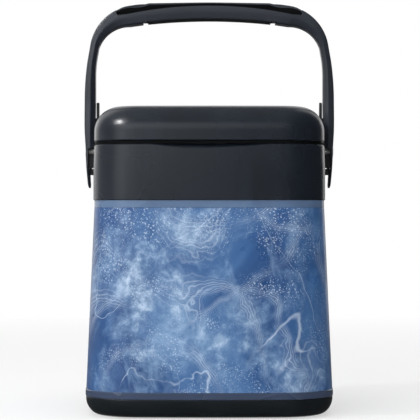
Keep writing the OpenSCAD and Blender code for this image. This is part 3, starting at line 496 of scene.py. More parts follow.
# plan outline of the body: a bowed rectangle with round corners, drawn in by an inset
plan = {"halfWidth": 111.4, "halfDepth": 100.4, "corner": 50.0, "sideBow": 2400.0, "frontBow": 900.0,
        "cornerSteps": 18, "frontSteps": 14, "sideSteps": 6}
sideCentre = Vector((plan["halfWidth"] - plan["sideBow"], 0))
frontCentre = Vector((0, plan["halfDepth"] - plan["frontBow"]))
reachSide = plan["sideBow"] - plan["corner"]
reachFront = plan["frontBow"] - plan["corner"]
between = (frontCentre - sideCentre).length
toward = (frontCentre - sideCentre) / between
alongLine = (between ** 2 + reachSide ** 2 - reachFront ** 2) / (2 * between)
acrossLine = sqrt(reachSide ** 2 - alongLine ** 2)
cornerCentre = sideCentre + toward * alongLine + Vector((-toward.y, toward.x)) * acrossLine
sideEnd = degrees(atan2(cornerCentre.y, cornerCentre.x - sideCentre.x))
frontEnd = degrees(atan2(cornerCentre.y - frontCentre.y, cornerCentre.x))


def spread(low, high, steps):
    return [low + (high - low) * i / steps for i in range(steps)]


quarter = (spread(0, sideEnd, plan["sideSteps"]) + spread(sideEnd, frontEnd, plan["cornerSteps"])
           + spread(frontEnd, 90, plan["frontSteps"]) + [90])
headings = (quarter[:-1] + [180 - q for q in quarter[:0:-1]] + [180 + q for q in quarter[:-1]]
            + [360 - q for q in quarter[:0:-1]])


def planPoint(heading, inset):
    c, s = cos(radians(heading)), sin(radians(heading))
    q = degrees(acos(min(1, abs(c))))
    centre, radius = ((sideCentre, plan["sideBow"]) if q <= sideEnd else
                      (frontCentre, plan["frontBow"]) if q >= frontEnd else (cornerCentre, plan["corner"]))
    x = centre.x + (radius - inset) * cos(radians(q))
    y = centre.y + (radius - inset) * sin(radians(q))
    return copysign(x, c), copysign(y, s)


def shell(profile, closed=False):
    # profile: pairs of inset and height, or a function of a point of the outline that gives them
    bm = bmesh.new()
    rows = [profile(planPoint(h, 0)) if callable(profile) else profile for h in headings]
    rings = []
    for i in range(len(rows[0])):
        rings.append([Vector((*planPoint(h, row[i][0]), row[i][1])) for h, row in zip(headings, rows)])
    ringWalls(bm, rings, closed)
    return bm


def bend(inset, z, rx, rz, start, end, steps):
    # quarter ellipse of pairs of inset and height, 0 degrees being level with its centre
    return [(inset - rx * cos(radians(a)), z + rz * sin(radians(a)))
            for a in (start + (end - start) * i / steps for i in range(steps + 1))]


# heights and insets that several pieces share
level = {"panTop": 17.4, "wrapZ": 23.6, "bandZ": 185.8, "collarZ": 192.5, "collarTop": 242.2, "lidZ": 246.2,
         "lidTop": 277.0, "pivotZ": 237.5}
hinge = {"y": 96.4, "z": 244.2, "radius": 4.0}
inset = {"collar": 6.6, "collarInner": 9.8, "lid": 7.4, "liner": 23.2, "band": 7.6}
pocket = {"floor": 101.1, "far": 117.0, "radius": 47.0, "spare": 2.0, "bottom": 210.5, "top": 290.0}
film = {"gap": 0.05, "thick": 0.6, "lean": 7.3}


def wrapInset(z):
    return 0.2 + film["lean"] * (z - level["wrapZ"]) / (level["bandZ"] - level["wrapZ"])


# base pan
pan = {"gap": 0.8, "round": 12.6, "wall": 2.8, "rim": 0.4, "straight": 1.1, "seat": 10.3, "seatTop": 2.8,
       "boss": 12.0, "bossZ": (3.4, 7.0), "edge": 0.35}
feet = [(x, y) for x in (-72.0, 72.0) for y in (-62.0, 62.0)]
panTop, panRim = level["panTop"], pan["rim"]
panRise = panTop - pan["gap"] - pan["straight"]
outerPan = bend(pan["round"], pan["gap"] + panRise, pan["round"], panRise, -90, 0, 14)
innerPan = bend(pan["round"] + pan["wall"], pan["gap"] + panRise, pan["round"], panRise - 3, 0, -90, 8)
bm = shell(outerPan + [(0, panTop - panRim), (panRim, panTop), (pan["wall"], panTop)] + innerPan)
seats = bmesh.new()
for foot in feet:
    rod(seats, "z", -1, pan["seatTop"], pan["seat"], foot, 48)
bm = cut(bm, seats)
for foot in feet:
    rod(bm, "z", *pan["bossZ"], pan["boss"], foot, 32)
finish(bm, "pan", "root", "pan_plastic", ["base_shell"], bevel=pan["edge"])

# outer tub: lip under the wrap, wall behind it, bare band above and neck inside the collar
tub = {"wall": 3.0, "lipOut": 0.4, "lipEase": 0.5, "neckZ": 204.0, "neckIn": 10.1, "neckInner": 12.5,
       "footZ": 20.0, "notch": ((-63, 63), (60, 100.4), (193.5, 205)), "edge": 0.35}
bandZ, wrapZ, collarZ, neckZ = level["bandZ"], level["wrapZ"], level["collarZ"], tub["neckZ"]
wrapFoot, wrapHead = wrapInset(wrapZ), wrapInset(bandZ)
bm = shell([(0.1, panTop), (-tub["lipOut"], panTop + tub["lipEase"]),
            (-tub["lipOut"], wrapZ - tub["lipEase"]), (0.1, wrapZ), (wrapFoot + film["thick"], wrapZ),
            (wrapHead + film["thick"], bandZ), (inset["band"], bandZ), (inset["band"], collarZ),
            (tub["neckIn"], collarZ), (tub["neckIn"], neckZ), (tub["neckInner"], neckZ),
            (tub["neckInner"], collarZ - 1), (wrapHead + tub["wall"], bandZ - 4),
            (wrapFoot + tub["wall"], wrapZ), (wrapFoot + tub["wall"] + 1, tub["footZ"])])
notch = bmesh.new()
block(notch, *tub["notch"])
bm = cut(bm, notch)
finish(bm, "tub", "root", "tub_plastic", ["outer_tub"], bevel=tub["edge"], angle=34)

# printed film round the tub
low, high = wrapZ + film["gap"], bandZ - film["gap"]
filmBack = film["thick"] - film["gap"]
bm = shell([(wrapInset(low) + filmBack, low), (wrapInset(low), low), (wrapInset(high), high),
            (wrapInset(high) + filmBack, high)])
finish(bm, "wrap", "root", "wrap_print", ["label_wrap"], bevel=0.12)
print("pan, tub and wrap made")

# collar with its finger scoop, pockets, hinge knuckles and the flat pad that carries the port panel
collar = {"scoopDepth": 5.4, "scoopWidth": 124.0, "scoopSpare": 0.75, "lean": 0.8, "leanFrom": 220.5,
          "edge": 0.9, "window": ((-50, 50), (60, 101), (201.5, 234.5)),
          "pad": ((-62, 62), (87.4, 95.4), (194, 238)),
          "plateZ": (204.5, 241.2), "bearings": (-59.3, -37.7, 30.7, 52.3), "bearing": 7.0,
          "bearingY": (90.6, 98.4), "bearingZ": (237.3, 242.7)}
scoopSlope = cos(radians(45))
scoopDrop = collar["scoopDepth"] * scoopSlope
scoopRadius = (collar["scoopWidth"] ** 2 / 4 + scoopDrop ** 2) / (2 * scoopDrop)
collarTop = level["collarTop"]


def collarLean(z):
    height = collarTop - 1.2 - collar["leanFrom"]
    return inset["collar"] + collar["lean"] * max(0, z - collar["leanFrom"]) / height


def collarProfile(point):
    x, y = point
    chamfer = 0
    if y < 0 and abs(x) < collar["scoopWidth"] / 2:
        rise = scoopRadius - sqrt(scoopRadius ** 2 - x * x)
        chamfer = collar["scoopDepth"] - rise / scoopSlope - collar["scoopSpare"]
    chamfer = max(collar["edge"], chamfer)
    low = collarTop - chamfer
    middle = collarTop - chamfer / 2
    outer, inner, mouth = inset["collar"], inset["collarInner"], inset["liner"] - 0.3
    return [(inner, collarZ), (outer + 0.4, collarZ), (outer, collarZ + 0.6), (outer, collar["leanFrom"]),
            (collarLean(low - 0.5), low - 0.5), (collarLean(low), low),
            (collarLean(low) + chamfer * 0.42 + 0.1, middle), (collarLean(low) + chamfer, collarTop),
            (mouth, collarTop), (mouth, collarTop - 2.6), (inner + 6, collarTop - 2.6),
            (inner, collarTop - 9.2), (inner, collarZ)]


def sidePlate(side, near, far, radius, low, high):
    # plate in a side, round below the pivot and straight above it, between two heights
    bm = bmesh.new()
    rod(bm, "x", *outward(side, near, far), radius, (0, level["pivotZ"]), 128)
    for height, way in ((level["pivotZ"], 1), (low, -1)):
        bmesh.ops.bisect_plane(bm, geom=bm.verts[:] + bm.edges[:] + bm.faces[:], plane_co=(0, 0, height),
                               plane_no=(0, 0, way), clear_outer=True)
        bmesh.ops.holes_fill(bm, edges=[e for e in bm.edges if e.is_boundary], sides=0)
    top = [f for f in bm.faces if f.calc_center_median().z > level["pivotZ"] - 0.01 and f.normal.z != 0]
    raised = bmesh.ops.extrude_face_region(bm, geom=top)["geom"]
    bmesh.ops.translate(bm, vec=(0, 0, high - level["pivotZ"]), verts=vertsOf(raised))
    bmesh.ops.delete(bm, geom=top, context="FACES")
    return bm


def lidPlate(side, near, far):
    # straight plate behind a pocket in the lid's skin
    bm = bmesh.new()
    reach = pocket["radius"] + pocket["spare"]
    block(bm, outward(side, near, far), (-reach, reach), (level["lidZ"], lid["plateTop"]))
    return bm


def pocketCuts():
    # room at both sides in which the guide ears swing
    return [sidePlate(side, pocket["floor"], pocket["far"], pocket["radius"],
                      pocket["bottom"], pocket["top"]) for side in (-1, 1)]


def windowCut():
    # opening for what the port panel carries
    made = bmesh.new()
    block(made, *collar["window"])
    return made


def knuckles(xs, width, y, z):
    # round eyes on the hinge line from each x on, with a foot that ties them to what they stand on
    bm = bmesh.new()
    for x in xs:
        rod(bm, "x", x, x + width, hinge["radius"], (hinge["y"], hinge["z"]), 48)
    for x in xs:
        block(bm, (x, x + width), y, z)
    return bm


bm = cut(shell(collarProfile), *pocketCuts(), windowCut())
pad = bmesh.new()
block(pad, *collar["pad"])
pad = cut(pad, windowCut())
bearings = knuckles(collar["bearings"], collar["bearing"], collar["bearingY"], collar["bearingZ"])
plates = [sidePlate(side, pocket["floor"] - 3, pocket["floor"], pocket["radius"] + pocket["spare"],
                    *collar["plateZ"]) for side in (-1, 1)]
join(bm, pad, bearings, *plates)
finish(bm, "collarShell", "root", "charcoal", ["collar"], bevel=0.35, angle=40)

# lid skin with its knuckles
lid = {"wall": 2.7, "rim": 245.1, "round": 23.0, "shoulderZ": 254.0, "shoulderH": 22.6, "crownIn": 37.0,
       "plateTop": 262.0, "knuckles": (-52, 38), "knuckle": 14.0, "knuckleY": (90.0, 96.4),
       "knuckleZ": (246.5, 248.2), "edge": 0.35}
lidIn, lidZ, lidTop, lidRim, lidWall = inset["lid"], level["lidZ"], level["lidTop"], lid["rim"], lid["wall"]
shoulderIn, shoulderZ, shoulderH = lidIn + lid["round"], lid["shoulderZ"], lid["shoulderH"]
bm = shell([(shoulderIn + 6, shoulderZ + shoulderH - lidWall + 0.2)]
           + bend(shoulderIn, shoulderZ, lid["round"] - lidWall, shoulderH - lidWall, 90, 0, 8)
           + [(lidIn + lidWall, lidRim), (lidIn + 0.7, lidRim), (lidIn, lidRim + 0.8)]
           + bend(shoulderIn, shoulderZ, lid["round"], shoulderH, 0, 90, 18)
           + [(shoulderIn + 7, lidTop - 0.1), (lidIn + lid["crownIn"], lidTop)])
bm = cut(bm, *pocketCuts())
ears = knuckles(lid["knuckles"], lid["knuckle"], lid["knuckleY"], lid["knuckleZ"])
join(bm, ears, *(lidPlate(side, pocket["floor"] - 2.8, pocket["floor"]) for side in (-1, 1)))
finish(bm, "lidSkin", "lid", "charcoal", ["lid_shell"], bevel=lid["edge"], angle=40)

# tray under the lid, whose edge closes the gap all round but for the pockets; its near-black finish is
# painted shade in that gap
tray = {"plugIn": 27.8, "plugLow": 236.0, "edgeIn": 10.3, "edgeLow": 244.6, "roomX": (98.3, 112),
        "roomHalf": 49.3, "roomZ": (230, 250)}
plugIn, plugLow, trayLow = tray["plugIn"], tray["plugLow"], tray["edgeLow"]
bm = shell([(plugIn + 2.5, plugLow), (plugIn + 0.7, plugLow + 1.5), (plugIn, trayLow),
            (tray["edgeIn"], trayLow), (tray["edgeIn"], lidZ), (plugIn + 2.4, lidZ),
            (plugIn + 3.2, plugLow + 2.4)])


def sideRoom():
    # room for the pockets at both sides
    made = bmesh.new()
    for side in (-1, 1):
        block(made, outward(side, *tray["roomX"]), (-tray["roomHalf"], tray["roomHalf"]), tray["roomZ"])
    return made


bm = cut(bm, sideRoom())
# the near-black channel finish in place of its dark plastic: painted shade
finish(bm, "lidTray", "lid", "dark_plastic", ["lid_liner"], bevel=0.3, look="channel")

# seal under the tray, with a lip that hangs down to the collar's top; its near-black finish is painted shade
# in the gap under the lid
seal = {"out": 7.9, "lip": 12.4, "in": 21.9, "low": 242.35, "under": 243.65, "top": 244.55}
lip, under, sealTop = seal["lip"], seal["under"], seal["top"]
bm = shell([(lip, seal["low"]), (seal["out"], seal["low"]), (seal["out"], sealTop), (seal["in"], sealTop),
            (seal["in"], under), (lip, under), (lip, seal["low"])], closed=True)
bm = cut(bm, sideRoom())
# the near-black channel finish in place of its rubber: painted shade
finish(bm, "lidSeal", "lid", "rubber", ["lid_gasket"], bevel=0.15, look="channel")
print("collar and lid made")

# bail handle: one section carried from blade to blade over the grip, with a ridge along the arms' faces
handle = {"armIn": 104.9, "armOut": 115.0, "armHalf": 9.5, "gripHalf": 12.0, "top": 377.2, "grip": 18.2,
          "crown": 1000.0, "under": 541.0, "bowOut": 256.0, "bowIn": 125.0, "bowZ": 284.5,
          "straightZ": 306.5, "outCorner": (66.7, 328.5, 43.7), "inCorner": (73.8, 324.0, 29.6),
          "channel": 86.0, "channelHalf": 9.0, "channelDeep": 10.0, "wallTop": 371.6, "wallBow": 370.0,
          "brimMiddle": 1.3, "brimMore": 0.8, "slope": 1.6, "backLift": 2.7, "liftAt": 80.0,
          "narrowAt": 60, "narrow": 2.6, "brimEnd": 54, "clearZ": 382, "clearY": 14, "clearX": 118.0,
          "pad": 56.7, "nick": 61.0, "padHalf": 10.5, "padThick": 3.0, "pinGap": (221.6, 240.3),
          "pinWall": 111.7, "earX": (102.9, 107.9), "earZ": (262.0, 268.5), "bore": 2.55, "boreX": 104.0,
          "recess": 4.8, "recessX": 112.5, "slotX": 113.1, "slotHalf": 4.5, "slotZ": (257.5, 312.5)}
# lower arm and blade: height over the pivot, outer line, inner line, half the width
bladeRows = [(-33.5, -3.9, 4.9, -5.5), (-30.5, -3.0, 4.7, -3.5), (-24.5, -2.5, 5.2, -1.5),
             (-15.5, -1.8, 5.4, 0.5), (-5.5, -1.3, 3.4, 1.5), (3.5, -1.0, 1.2, 1.5),
             (12.5, -0.4, 0.9, 1.5), (25.0, 0.1, 0.4, 1.0), (47.0, 0.0, 0.0, 0.0)]


def smoothRows(rows, steps):
    # rows of numbers with a smooth curve through them
    out = []
    for i in range(len(rows) - 1):
        a, b, c, d = (rows[min(max(i + k, 0), len(rows) - 1)] for k in (-1, 0, 1, 2))
        for t in (k / steps for k in range(steps)):
            out.append([q[1] + 0.5 * t * (q[2] - q[0] + t * (2 * q[0] - 5 * q[1] + 4 * q[2] - q[3]
                        + t * (3 * (q[1] - q[2]) + q[3] - q[0]))) for q in zip(a, b, c, d)])
    return out + [list(rows[-1])]


def gripTop(x):
    return handle["top"] - handle["crown"] + sqrt(handle["crown"] ** 2 - x * x)


def gripUnder(x):
    return handle["top"] - handle["grip"] - handle["under"] + sqrt(handle["under"] ** 2 - x * x)


def backLift(x):
    # how much higher the grip's back wall stands than its outer line
    x = abs(x)
    if x < handle["liftAt"]:
        return handle["backLift"] * (x / handle["liftAt"]) ** 3
    return handle["backLift"] * max(0, 1 - (x - handle["liftAt"]) / 30)


def outerLine(x):
    x = abs(x)
    centreX, centreZ, radius = handle["outCorner"]
    corner = centreZ + sqrt(max(0, radius ** 2 - (x - centreX) ** 2))
    blend = min(1, max(0, (x - 56) / (centreX - 56)))
    return gripTop(x) + (corner - gripTop(x)) * blend


def bowed(base, radius, start, z):
    return base - radius + sqrt(radius ** 2 - max(0, z - start) ** 2)


def fanPoint(angle, corner):
    # where a ray from between the two corner centres meets a corner's arc
    x, z, radius = corner
    fan = Vector(((handle["outCorner"][0] + handle["inCorner"][0]) / 2,
                  (handle["outCorner"][1] + handle["inCorner"][1]) / 2))
    ray = Vector((cos(radians(angle)), sin(radians(angle))))
    off = Vector((x, z)) - fan
    ahead = off.dot(ray)
    return fan + ray * (ahead + sqrt(radius ** 2 - off.length_squared + ahead ** 2))


# stations of one half: outer point, inner point, half the width and how far the arm has become the grip
stations = []
for row in smoothRows(bladeRows, 5):
    z = level["pivotZ"] + row[0]
    stations.append((Vector((handle["armOut"] + row[1], z)), Vector((handle["armIn"] + row[2], z)),
                     handle["armHalf"] + row[3], 0.0))
for z in (handle["bowZ"] + step for step in (5, 10, 15, 20, 25, 29, 33, 37)):
    stations.append((Vector((bowed(handle["armOut"], handle["bowOut"], handle["bowZ"], z), z)),
                     Vector((bowed(handle["armIn"], handle["bowIn"], handle["straightZ"], z), z)),
                     handle["armHalf"], 0.0))
for angle in range(12, 85, 4):
    share = (angle - 12) / 72
    stations.append((fanPoint(angle, handle["outCorner"]), fanPoint(angle, handle["inCorner"]),
                     handle["armHalf"] + (handle["gripHalf"] - handle["armHalf"]) * share, share))
for x in (56, 49, 42, 35, 28, 21, 14, 7, 0):
    stations.append((Vector((x, gripTop(x))), Vector((x, gripUnder(x))), handle["gripHalf"], 1.0))
face = {"outRound": (2.4, 1.8), "inRound": (0.9, 2.2), "outFall": (0.9, 0.9), "inFall": (2.6, 0.9),
        "ridge": (-0.12, -0.1), "soft": (0.9, 4.0)}


def sectionRing(outer, inner, width, share, side):
    # front half of the section from its outer line to its inner line, then the back half
    look = {key: arm + (grip - arm) * share for key, (arm, grip) in face.items()}
    middle, half = (outer + inner) / 2, (outer - inner).length / 2
    out = (outer - inner).normalized()
    outRound = min(look["outRound"], 0.6 * half, 0.5 * width)
    inRound = min(look["inRound"], 0.5 * half, 0.4 * width)
    ridge = look["ridge"] * half
    fall = min(1.0, half / 5.0, width / 8.0)

    def rise(u):
        outward = max(0, (u - ridge) / (half - outRound - ridge))
        inward = max(0, (ridge - u) / (ridge + half - inRound))
        return width - fall * (look["outFall"] * outward + look["inFall"] * inward)

    line = []
    for k in range(6):
        a = radians(18 * k)
        line.append((half - outRound + outRound * cos(a),
                     rise(half - outRound) - outRound * (1 - sin(a))))
    for k in range(1, 16):
        u = half - outRound + (inRound + outRound - 2 * half) * k / 16
        line.append((u, (rise(u - look["soft"] / 2) + rise(u) + rise(u + look["soft"] / 2)) / 3))
    for k in range(6):
        a = radians(90 + 18 * k)
        line.append((inRound - half + inRound * cos(a),
                     rise(inRound - half) - inRound * (1 - sin(a))))
    points = [(u, -v) for u, v in line] + [(u, v) for u, v in reversed(line)]
    ring = [Vector((side * (middle.x + out.x * u), v, middle.y + out.y * u)) for u, v in points]
    for point, (u, v) in zip(ring, points):
        point.z += backLift(outer.x) * share * max(0, u / half) * min(1, max(0, (v + 4) / 8))
    return ring


bm = bmesh.new()
ringWalls(bm, [sectionRing(*station, 1) for station in stations]
          + [sectionRing(*station, -1) for station in reversed(stations[:-1])])
grooveXs = [handle["channel"] * k / 20 for k in range(20)]
grooveXs += [handle["channel"] - d for d in (0, 0.1, 0.4, 0.9, 1.6, 2.6)]
grooveXs = sorted({side * x for side in (-1, 1) for x in grooveXs})


def grooveCutter(rows):
    # cutter along the grip from a function that gives its section at x
    made = bmesh.new()
    ringWalls(made, [[Vector((x, y, z)) for y, z in rows(x)] for x in grooveXs])
    return made


def brimLine(x):
    # lower edge of the slope along the back wall's inner top
    more = handle["brimMore"] * min(1, abs(x) / handle["brimEnd"])
    return outerLine(x) + backLift(x) - handle["brimMiddle"] - more


def endRise(x):
    # how far a groove's floor has risen towards the top in its round end
    t = max(0, abs(x) - handle["channel"] + 4.3) / 4.3
    return 1 - sqrt(max(0, 1 - t * t))


def narrowed(x):
    # how far the channel has drawn in towards its ends
    return max(0, abs(x) - handle["narrowAt"]) / (handle["channel"] - handle["narrowAt"])


def channelHalf(x):
    return handle["channelHalf"] - handle["narrow"] * narrowed(x)


def channelRows(x):
    half, top = channelHalf(x), outerLine(x) + backLift(x)
    slope = handle["slope"] * (1 - 0.6 * narrowed(x))
    low = gripTop(x) - handle["channelDeep"] * (1 - 0.6 * endRise(x))
    brim = brimLine(x)
    return [(-half, low), (half, low), (half, max(low + 0.2, brim)), (half + slope, max(low + 0.3, top)),
            (half + slope, handle["clearZ"]), (-half, handle["clearZ"])]


def wallRows(x):
    low = handle["wallTop"] - handle["wallBow"] + sqrt(handle["wallBow"] ** 2 - x * x)
    low += (gripTop(x) - low) * 0.5 * endRise(x)
    back, top = 1 - channelHalf(x), handle["clearZ"]
    return [(-handle["clearY"], low), (back, low), (back, top), (-handle["clearY"], top)]


bm = cut(bm, grooveCutter(channelRows), grooveCutter(wallRows))
# the channel's floor and walls get the near-black lining, painted shade inside the channel
for f in bm.faces:
    spot = f.calc_center_median()
    inside = abs(spot.y) < channelHalf(spot.x) + 0.1 and abs(spot.x) < handle["channel"] + 0.1
    lined = gripTop(spot.x) - handle["channelDeep"] - 0.3 < spot.z < brimLine(spot.x) + 0.1
    f.material_index = 1 if inside and lined and spot.z < outerLine(spot.x) - 0.3 else 0
padRoom = bmesh.new()
padXs = [(handle["pad"] + 1.6) * k / 24 for k in range(-24, 25)]
roomHalf, roomDeep = handle["padHalf"] + 0.1, handle["padThick"] + 0.1
ringWalls(padRoom, [[Vector((x, y, gripUnder(x) + dz)) for y, dz in
                     ((-roomHalf, -3), (roomHalf, -3), (roomHalf, roomDeep), (-roomHalf, roomDeep))]
                    for x in padXs])
across = (-handle["clearY"], handle["clearY"])
slotAcross = (-handle["slotHalf"], handle["slotHalf"])
nickZ = (gripUnder(handle["nick"]) - 3, gripUnder(handle["pad"]) + 1.3)
# nicks beside the pad, seat of the guide ear, notch at the pin, and on the arm's outer face the pin's bore
# and recess and a long slot with a round lower end
nicks, fittings, bores, recess, slotEnds = (bmesh.new() for _ in range(5))
for side in (-1, 1):
    block(nicks, outward(side, handle["pad"], handle["nick"]), across, nickZ)
    block(fittings, outward(side, *handle["earX"]), slotAcross, handle["earZ"])
    block(fittings, outward(side, handle["earX"][0], handle["pinWall"]), across, handle["pinGap"])
for side in (-1, 1):
    slotX = outward(side, handle["slotX"], handle["clearX"])
    block(fittings, slotX, slotAcross, handle["slotZ"])
    rod(slotEnds, "x", *slotX, handle["slotHalf"] - 0.01, (0, handle["slotZ"][0]), 48)
    for tool, start, radius, steps in ((bores, handle["boreX"], handle["bore"], 48),
                                       (recess, handle["recessX"], handle["recess"], 64)):
        rod(tool, "x", *outward(side, start, handle["clearX"]), radius, (0, level["pivotZ"]), steps)
bm = cut(bm, padRoom, nicks, fittings, bores, recess, slotEnds)
bail = finish(bm, "bail", "handle", "charcoal", ["handle_bail"], bevel=0.3, angle=34, look="handle")
# second finish: the near-black lining, painted shade in the channel
bail.data.materials.append(finishes["channel"])

# soft insert under the grip, flush with its underside
bm = bmesh.new()
padRows = []
half, deep = handle["padHalf"], handle["padThick"]
for x in (handle["pad"] * k / 20 for k in range(-20, 21)):
    padRows.append([Vector((x, y, gripUnder(x) + dz)) for y, dz in
                    ((-half, 0.5), (0.7 - half, -0.1), (-half / 2, -0.25), (0, -0.3), (half / 2, -0.25),
                     (half - 0.7, -0.1), (half, 0.5), (half, deep), (-half, deep))])
ringWalls(bm, padRows)
finish(bm, "gripPad", "handle", "rubber", ["grip_pad"], bevel=0.3, angle=34)
print("handle made")

# friction blocks: a stepped block under each pin and a smaller foot below it, on the arm's inner side
# each with its limits outward, half its width and its limits in height
friction = {"body": (104.3, handle["pinWall"], 7.0, 222.5, 231.9),
            "step": (104.3, handle["pinWall"], 6.4, 231.5, 234.9),
            "foot": (107.3, 110.9, 5.5, 216.0, 221.7), "stem": (108.6, 110.9, 2.0, 221.2, 223.0)}
bm = bmesh.new()
for side in (-1, 1):
    for near, far, half, low, high in friction.values():
        block(bm, outward(side, near, far), (-half, half), (low, high))
finish(bm, "frictionBlocks", "handle", "dark_plastic", ["friction_blocks"], bevel=0.35)

# five more of the frame's nodes, copied with eased edges
eased = {"rubber_feet": 0.4, "inner_tub": 0.3, "port_panel": 0.3, "release_button": 0.3, "guide_ears": 0.3}
for nodeName, width in eased.items():
    refined(nodeName, width)

# camera, level with the middle of the body, as the photograph was taken
camera = {"distance": 1.8, "height": 0.1837, "lens": 166.7, "sensor": 36.0, "shiftX": 0.0017}
lens = bpy.data.cameras.new("camera")
lens.lens, lens.sensor_width, lens.clip_end = camera["lens"], camera["sensor"], 60
lens.shift_x = camera["shiftX"]
eye = linked("camera", lens)
eye.location = (0, -camera["distance"], camera["height"])
eye.rotation_euler = (radians(90), 0, 0)
bpy.context.scene.camera = eye
bpy.context.scene.view_settings.view_transform = "Standard"

# floor and backdrop in one sweep, white to the camera and in reflections, plain pale to the lamps
sweep = {"half": 8.0, "frontY": -8.0, "wallY": 4.2, "radius": 1.2, "rise": 5.0, "shade": 0.86, "near": 0.55,
         "far": 1.0}
flatEnd = sweep["wallY"] - sweep["radius"]
bm = bmesh.new()
start = [bm.verts.new((x, sweep["frontY"], 0)) for x in (-sweep["half"], sweep["half"])]
edge = bm.edges.new(start)
made = bmesh.ops.extrude_edge_only(bm, edges=[edge])["geom"]
edge = next(g for g in made if isinstance(g, bmesh.types.BMEdge) and len(g.link_faces) == 1
            and all(v not in start for v in g.verts))
bmesh.ops.translate(bm, vec=(0, flatEnd - sweep["frontY"], 0), verts=edge.verts)
bent = bmesh.ops.spin(bm, geom=[edge, *edge.verts], cent=(0, flatEnd, sweep["radius"]), axis=(1, 0, 0),
                      angle=pi / 2, steps=16, use_merge=False, use_duplicate=False)
lastEdges = [g for g in bent["geom_last"] if isinstance(g, bmesh.types.BMEdge)]
made = bmesh.ops.extrude_edge_only(bm, edges=lastEdges)["geom"]
bmesh.ops.translate(bm, vec=(0, 0, sweep["rise"]), verts=vertsOf(made))
mesh = bpy.data.meshes.new("sweep")
bmesh.ops.remove_doubles(bm, verts=bm.verts, dist=0.0001)
bm.to_mesh(mesh)
bm.free()
mesh.shade_smooth()
floor = linked("sweep", mesh)


def seenDirectly(tree):
    # 1 for rays from the camera, from gloss and through glass, 0 for the lamps' light
    path = Sock(tree).node("LightPath", out="Is Camera Ray")
    for other in ("Is Glossy Ray", "Is Transmission Ray"):
        path = path.most(Sock(tree).node("LightPath", out=other))
    return path


def whiteGlow(tree, colour, near, far):
    # plain surface to the lamps, with a share of white light to the camera and in reflections that grows
    # with the distance from the object, so that the object's shadow stays
    place = Sock(tree).node("TexCoord", out="Object")
    away = place.node("VectorMath", {"operation": "LENGTH"}, {0: place}, out="Value")
    glow = away.range(0.3, 1.6, near, far)
    plain = Sock(tree).node("BsdfDiffuse", {}, {"Color": colour})
    white = Sock(tree).node("Emission", {}, {"Color": (1.0, 1.0, 1.0), "Strength": 1.0})
    return Sock(tree).node("MixShader", {}, {0: seenDirectly(tree) * glow, 1: plain, 2: white})


pale = bpy.data.materials.new("paleSweep")
tree = emptyTree(pale)
glow = whiteGlow(tree, (sweep["shade"],) * 3, sweep["near"], sweep["far"])
tree.links.new(glow.out, tree.nodes.new("ShaderNodeOutputMaterial").inputs[0])
floor.data.materials.append(pale)

# world: dim and even for the lamps' sake, white where the camera or a reflection looks past the sweep
world = bpy.data.worlds.new("studio")
bpy.context.scene.world = world
tree = emptyTree(world)
room = {"ambient": 0.4}
strength = seenDirectly(tree).range(0, 1, room["ambient"], 1.0)
light = Sock(tree).node("Background", {}, {"Color": (1.0, 1.0, 1.0), "Strength": strength})
tree.links.new(light.out, tree.nodes.new("ShaderNodeOutputWorld").inputs[0])

# lamps: a compact key high on the left, a wide one below it, a spark that only gloss shows, a weak strip
# behind each side, and two soft ones in front and overhead that no gloss shows
lamps = {
    "key": {"at": (-1.45, -0.76, 1.4), "size": (0.28, 0.28), "power": 13.0, "look": (0, 0, 0.2)},
    "side": {"at": (-1.45, -1.1, 0.5), "size": (0.8, 1.3), "power": 2.6, "look": (0, 0, 0.2)},
    "spark": {"at": (-1.5, -0.8, 1.4), "size": (0.24, 0.24), "power": 9.0, "look": (0, 0, 0.2),
              "shine": True},
    "fill": {"at": (-0.9, -2.2, 1.2), "size": (1.4, 1.0), "power": 18.0, "look": (0, 0, 0.2), "matte": True},
    "rimLeft": {"at": (-0.9, 1.4, 0.3), "size": (0.4, 0.8), "power": 0.9, "look": (0, 0, 0.22)},
    "rimRight": {"at": (0.9, 1.4, 0.3), "size": (0.4, 0.8), "power": 0.8, "look": (0, 0, 0.22)},
    "top": {"at": (0.0, -0.25, 1.6), "size": (1.2, 1.0), "power": 12.0, "look": (0, 0, 0.2), "matte": True},
}
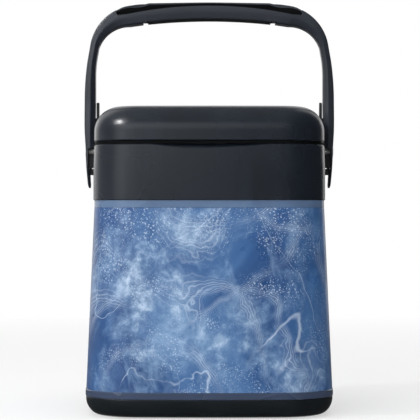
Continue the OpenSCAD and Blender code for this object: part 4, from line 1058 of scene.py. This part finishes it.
for name, lamp in lamps.items():
    light = bpy.data.lights.new(name, "AREA")
    light.shape, light.size, light.size_y, light.energy = "RECTANGLE", *lamp["size"], lamp["power"]
    stand = linked(name, light)
    stand.location = lamp["at"]
    stand.visible_glossy = not lamp.get("matte", False)
    stand.visible_diffuse = not lamp.get("shine", False)
    stand.rotation_euler = (Vector(lamp["look"]) - Vector(lamp["at"])).to_track_quat("-Z", "Y").to_euler()

# cards round the object, which only its gloss shows: limits in x, y and z, where along x the glow changes,
# and its strength before and after; the one in front gets brighter above the object, and the low dark one
# behind leaves the rest of the back wall white
cards = {"front": ((-3.4, 3.4), (-3.22, -3.2), (0.01, 3.2), (-1.0, 0.6), (0.95, 0.02)),
         "left": ((-3.42, -3.4), (-3.2, 2.4), (0.01, 3.2), (-3.5, -3.3), (0.35, 0.35)),
         "right": ((1.8, 1.82), (-3.2, 2.4), (0.01, 3.2), (1, 2), (0.03, 0.03)),
         "ceiling": ((-3.4, 3.4), (-3.2, 1.5), (2.6, 2.62), (-1.2, 1.0), (0.5, 0.12)),
         "ground": ((-2.2, 2.2), (-2.2, 2.9), (0.002, 0.003), (-0.3, 0.3), (0.1, 0.05)),
         "behind": ((-2.5, 2.5), (3.0, 3.02), (0.003, 0.34), (-0.5, 0.5), (0.2, 0.1))}
above = {"front": 0.55}
for name, (x, y, z, ends, strengths) in cards.items():
    bm = bmesh.new()
    block(bm, x, y, z)
    made = bareObject(bm, name + "Card")
    made.visible_camera = made.visible_diffuse = made.visible_shadow = made.visible_transmission = False
    paper = bpy.data.materials.new(name + "Card")
    tree = emptyTree(paper)
    place = Sock(tree).node("TexCoord", out="Object")
    across, height = (place.node("SeparateXYZ", {}, {"Vector": place}, out=axis) for axis in "XZ")
    glow = across.range(*ends, *strengths) + height.range(0.35, 1.2, 0, above.get(name, 0))
    light = Sock(tree).node("Emission", {}, {"Color": (0.96, 0.98, 1.0), "Strength": glow})
    tree.links.new(light.out, tree.nodes.new("ShaderNodeOutputMaterial").inputs[0])
    made.data.materials.append(paper)
print("stage and lamps set")
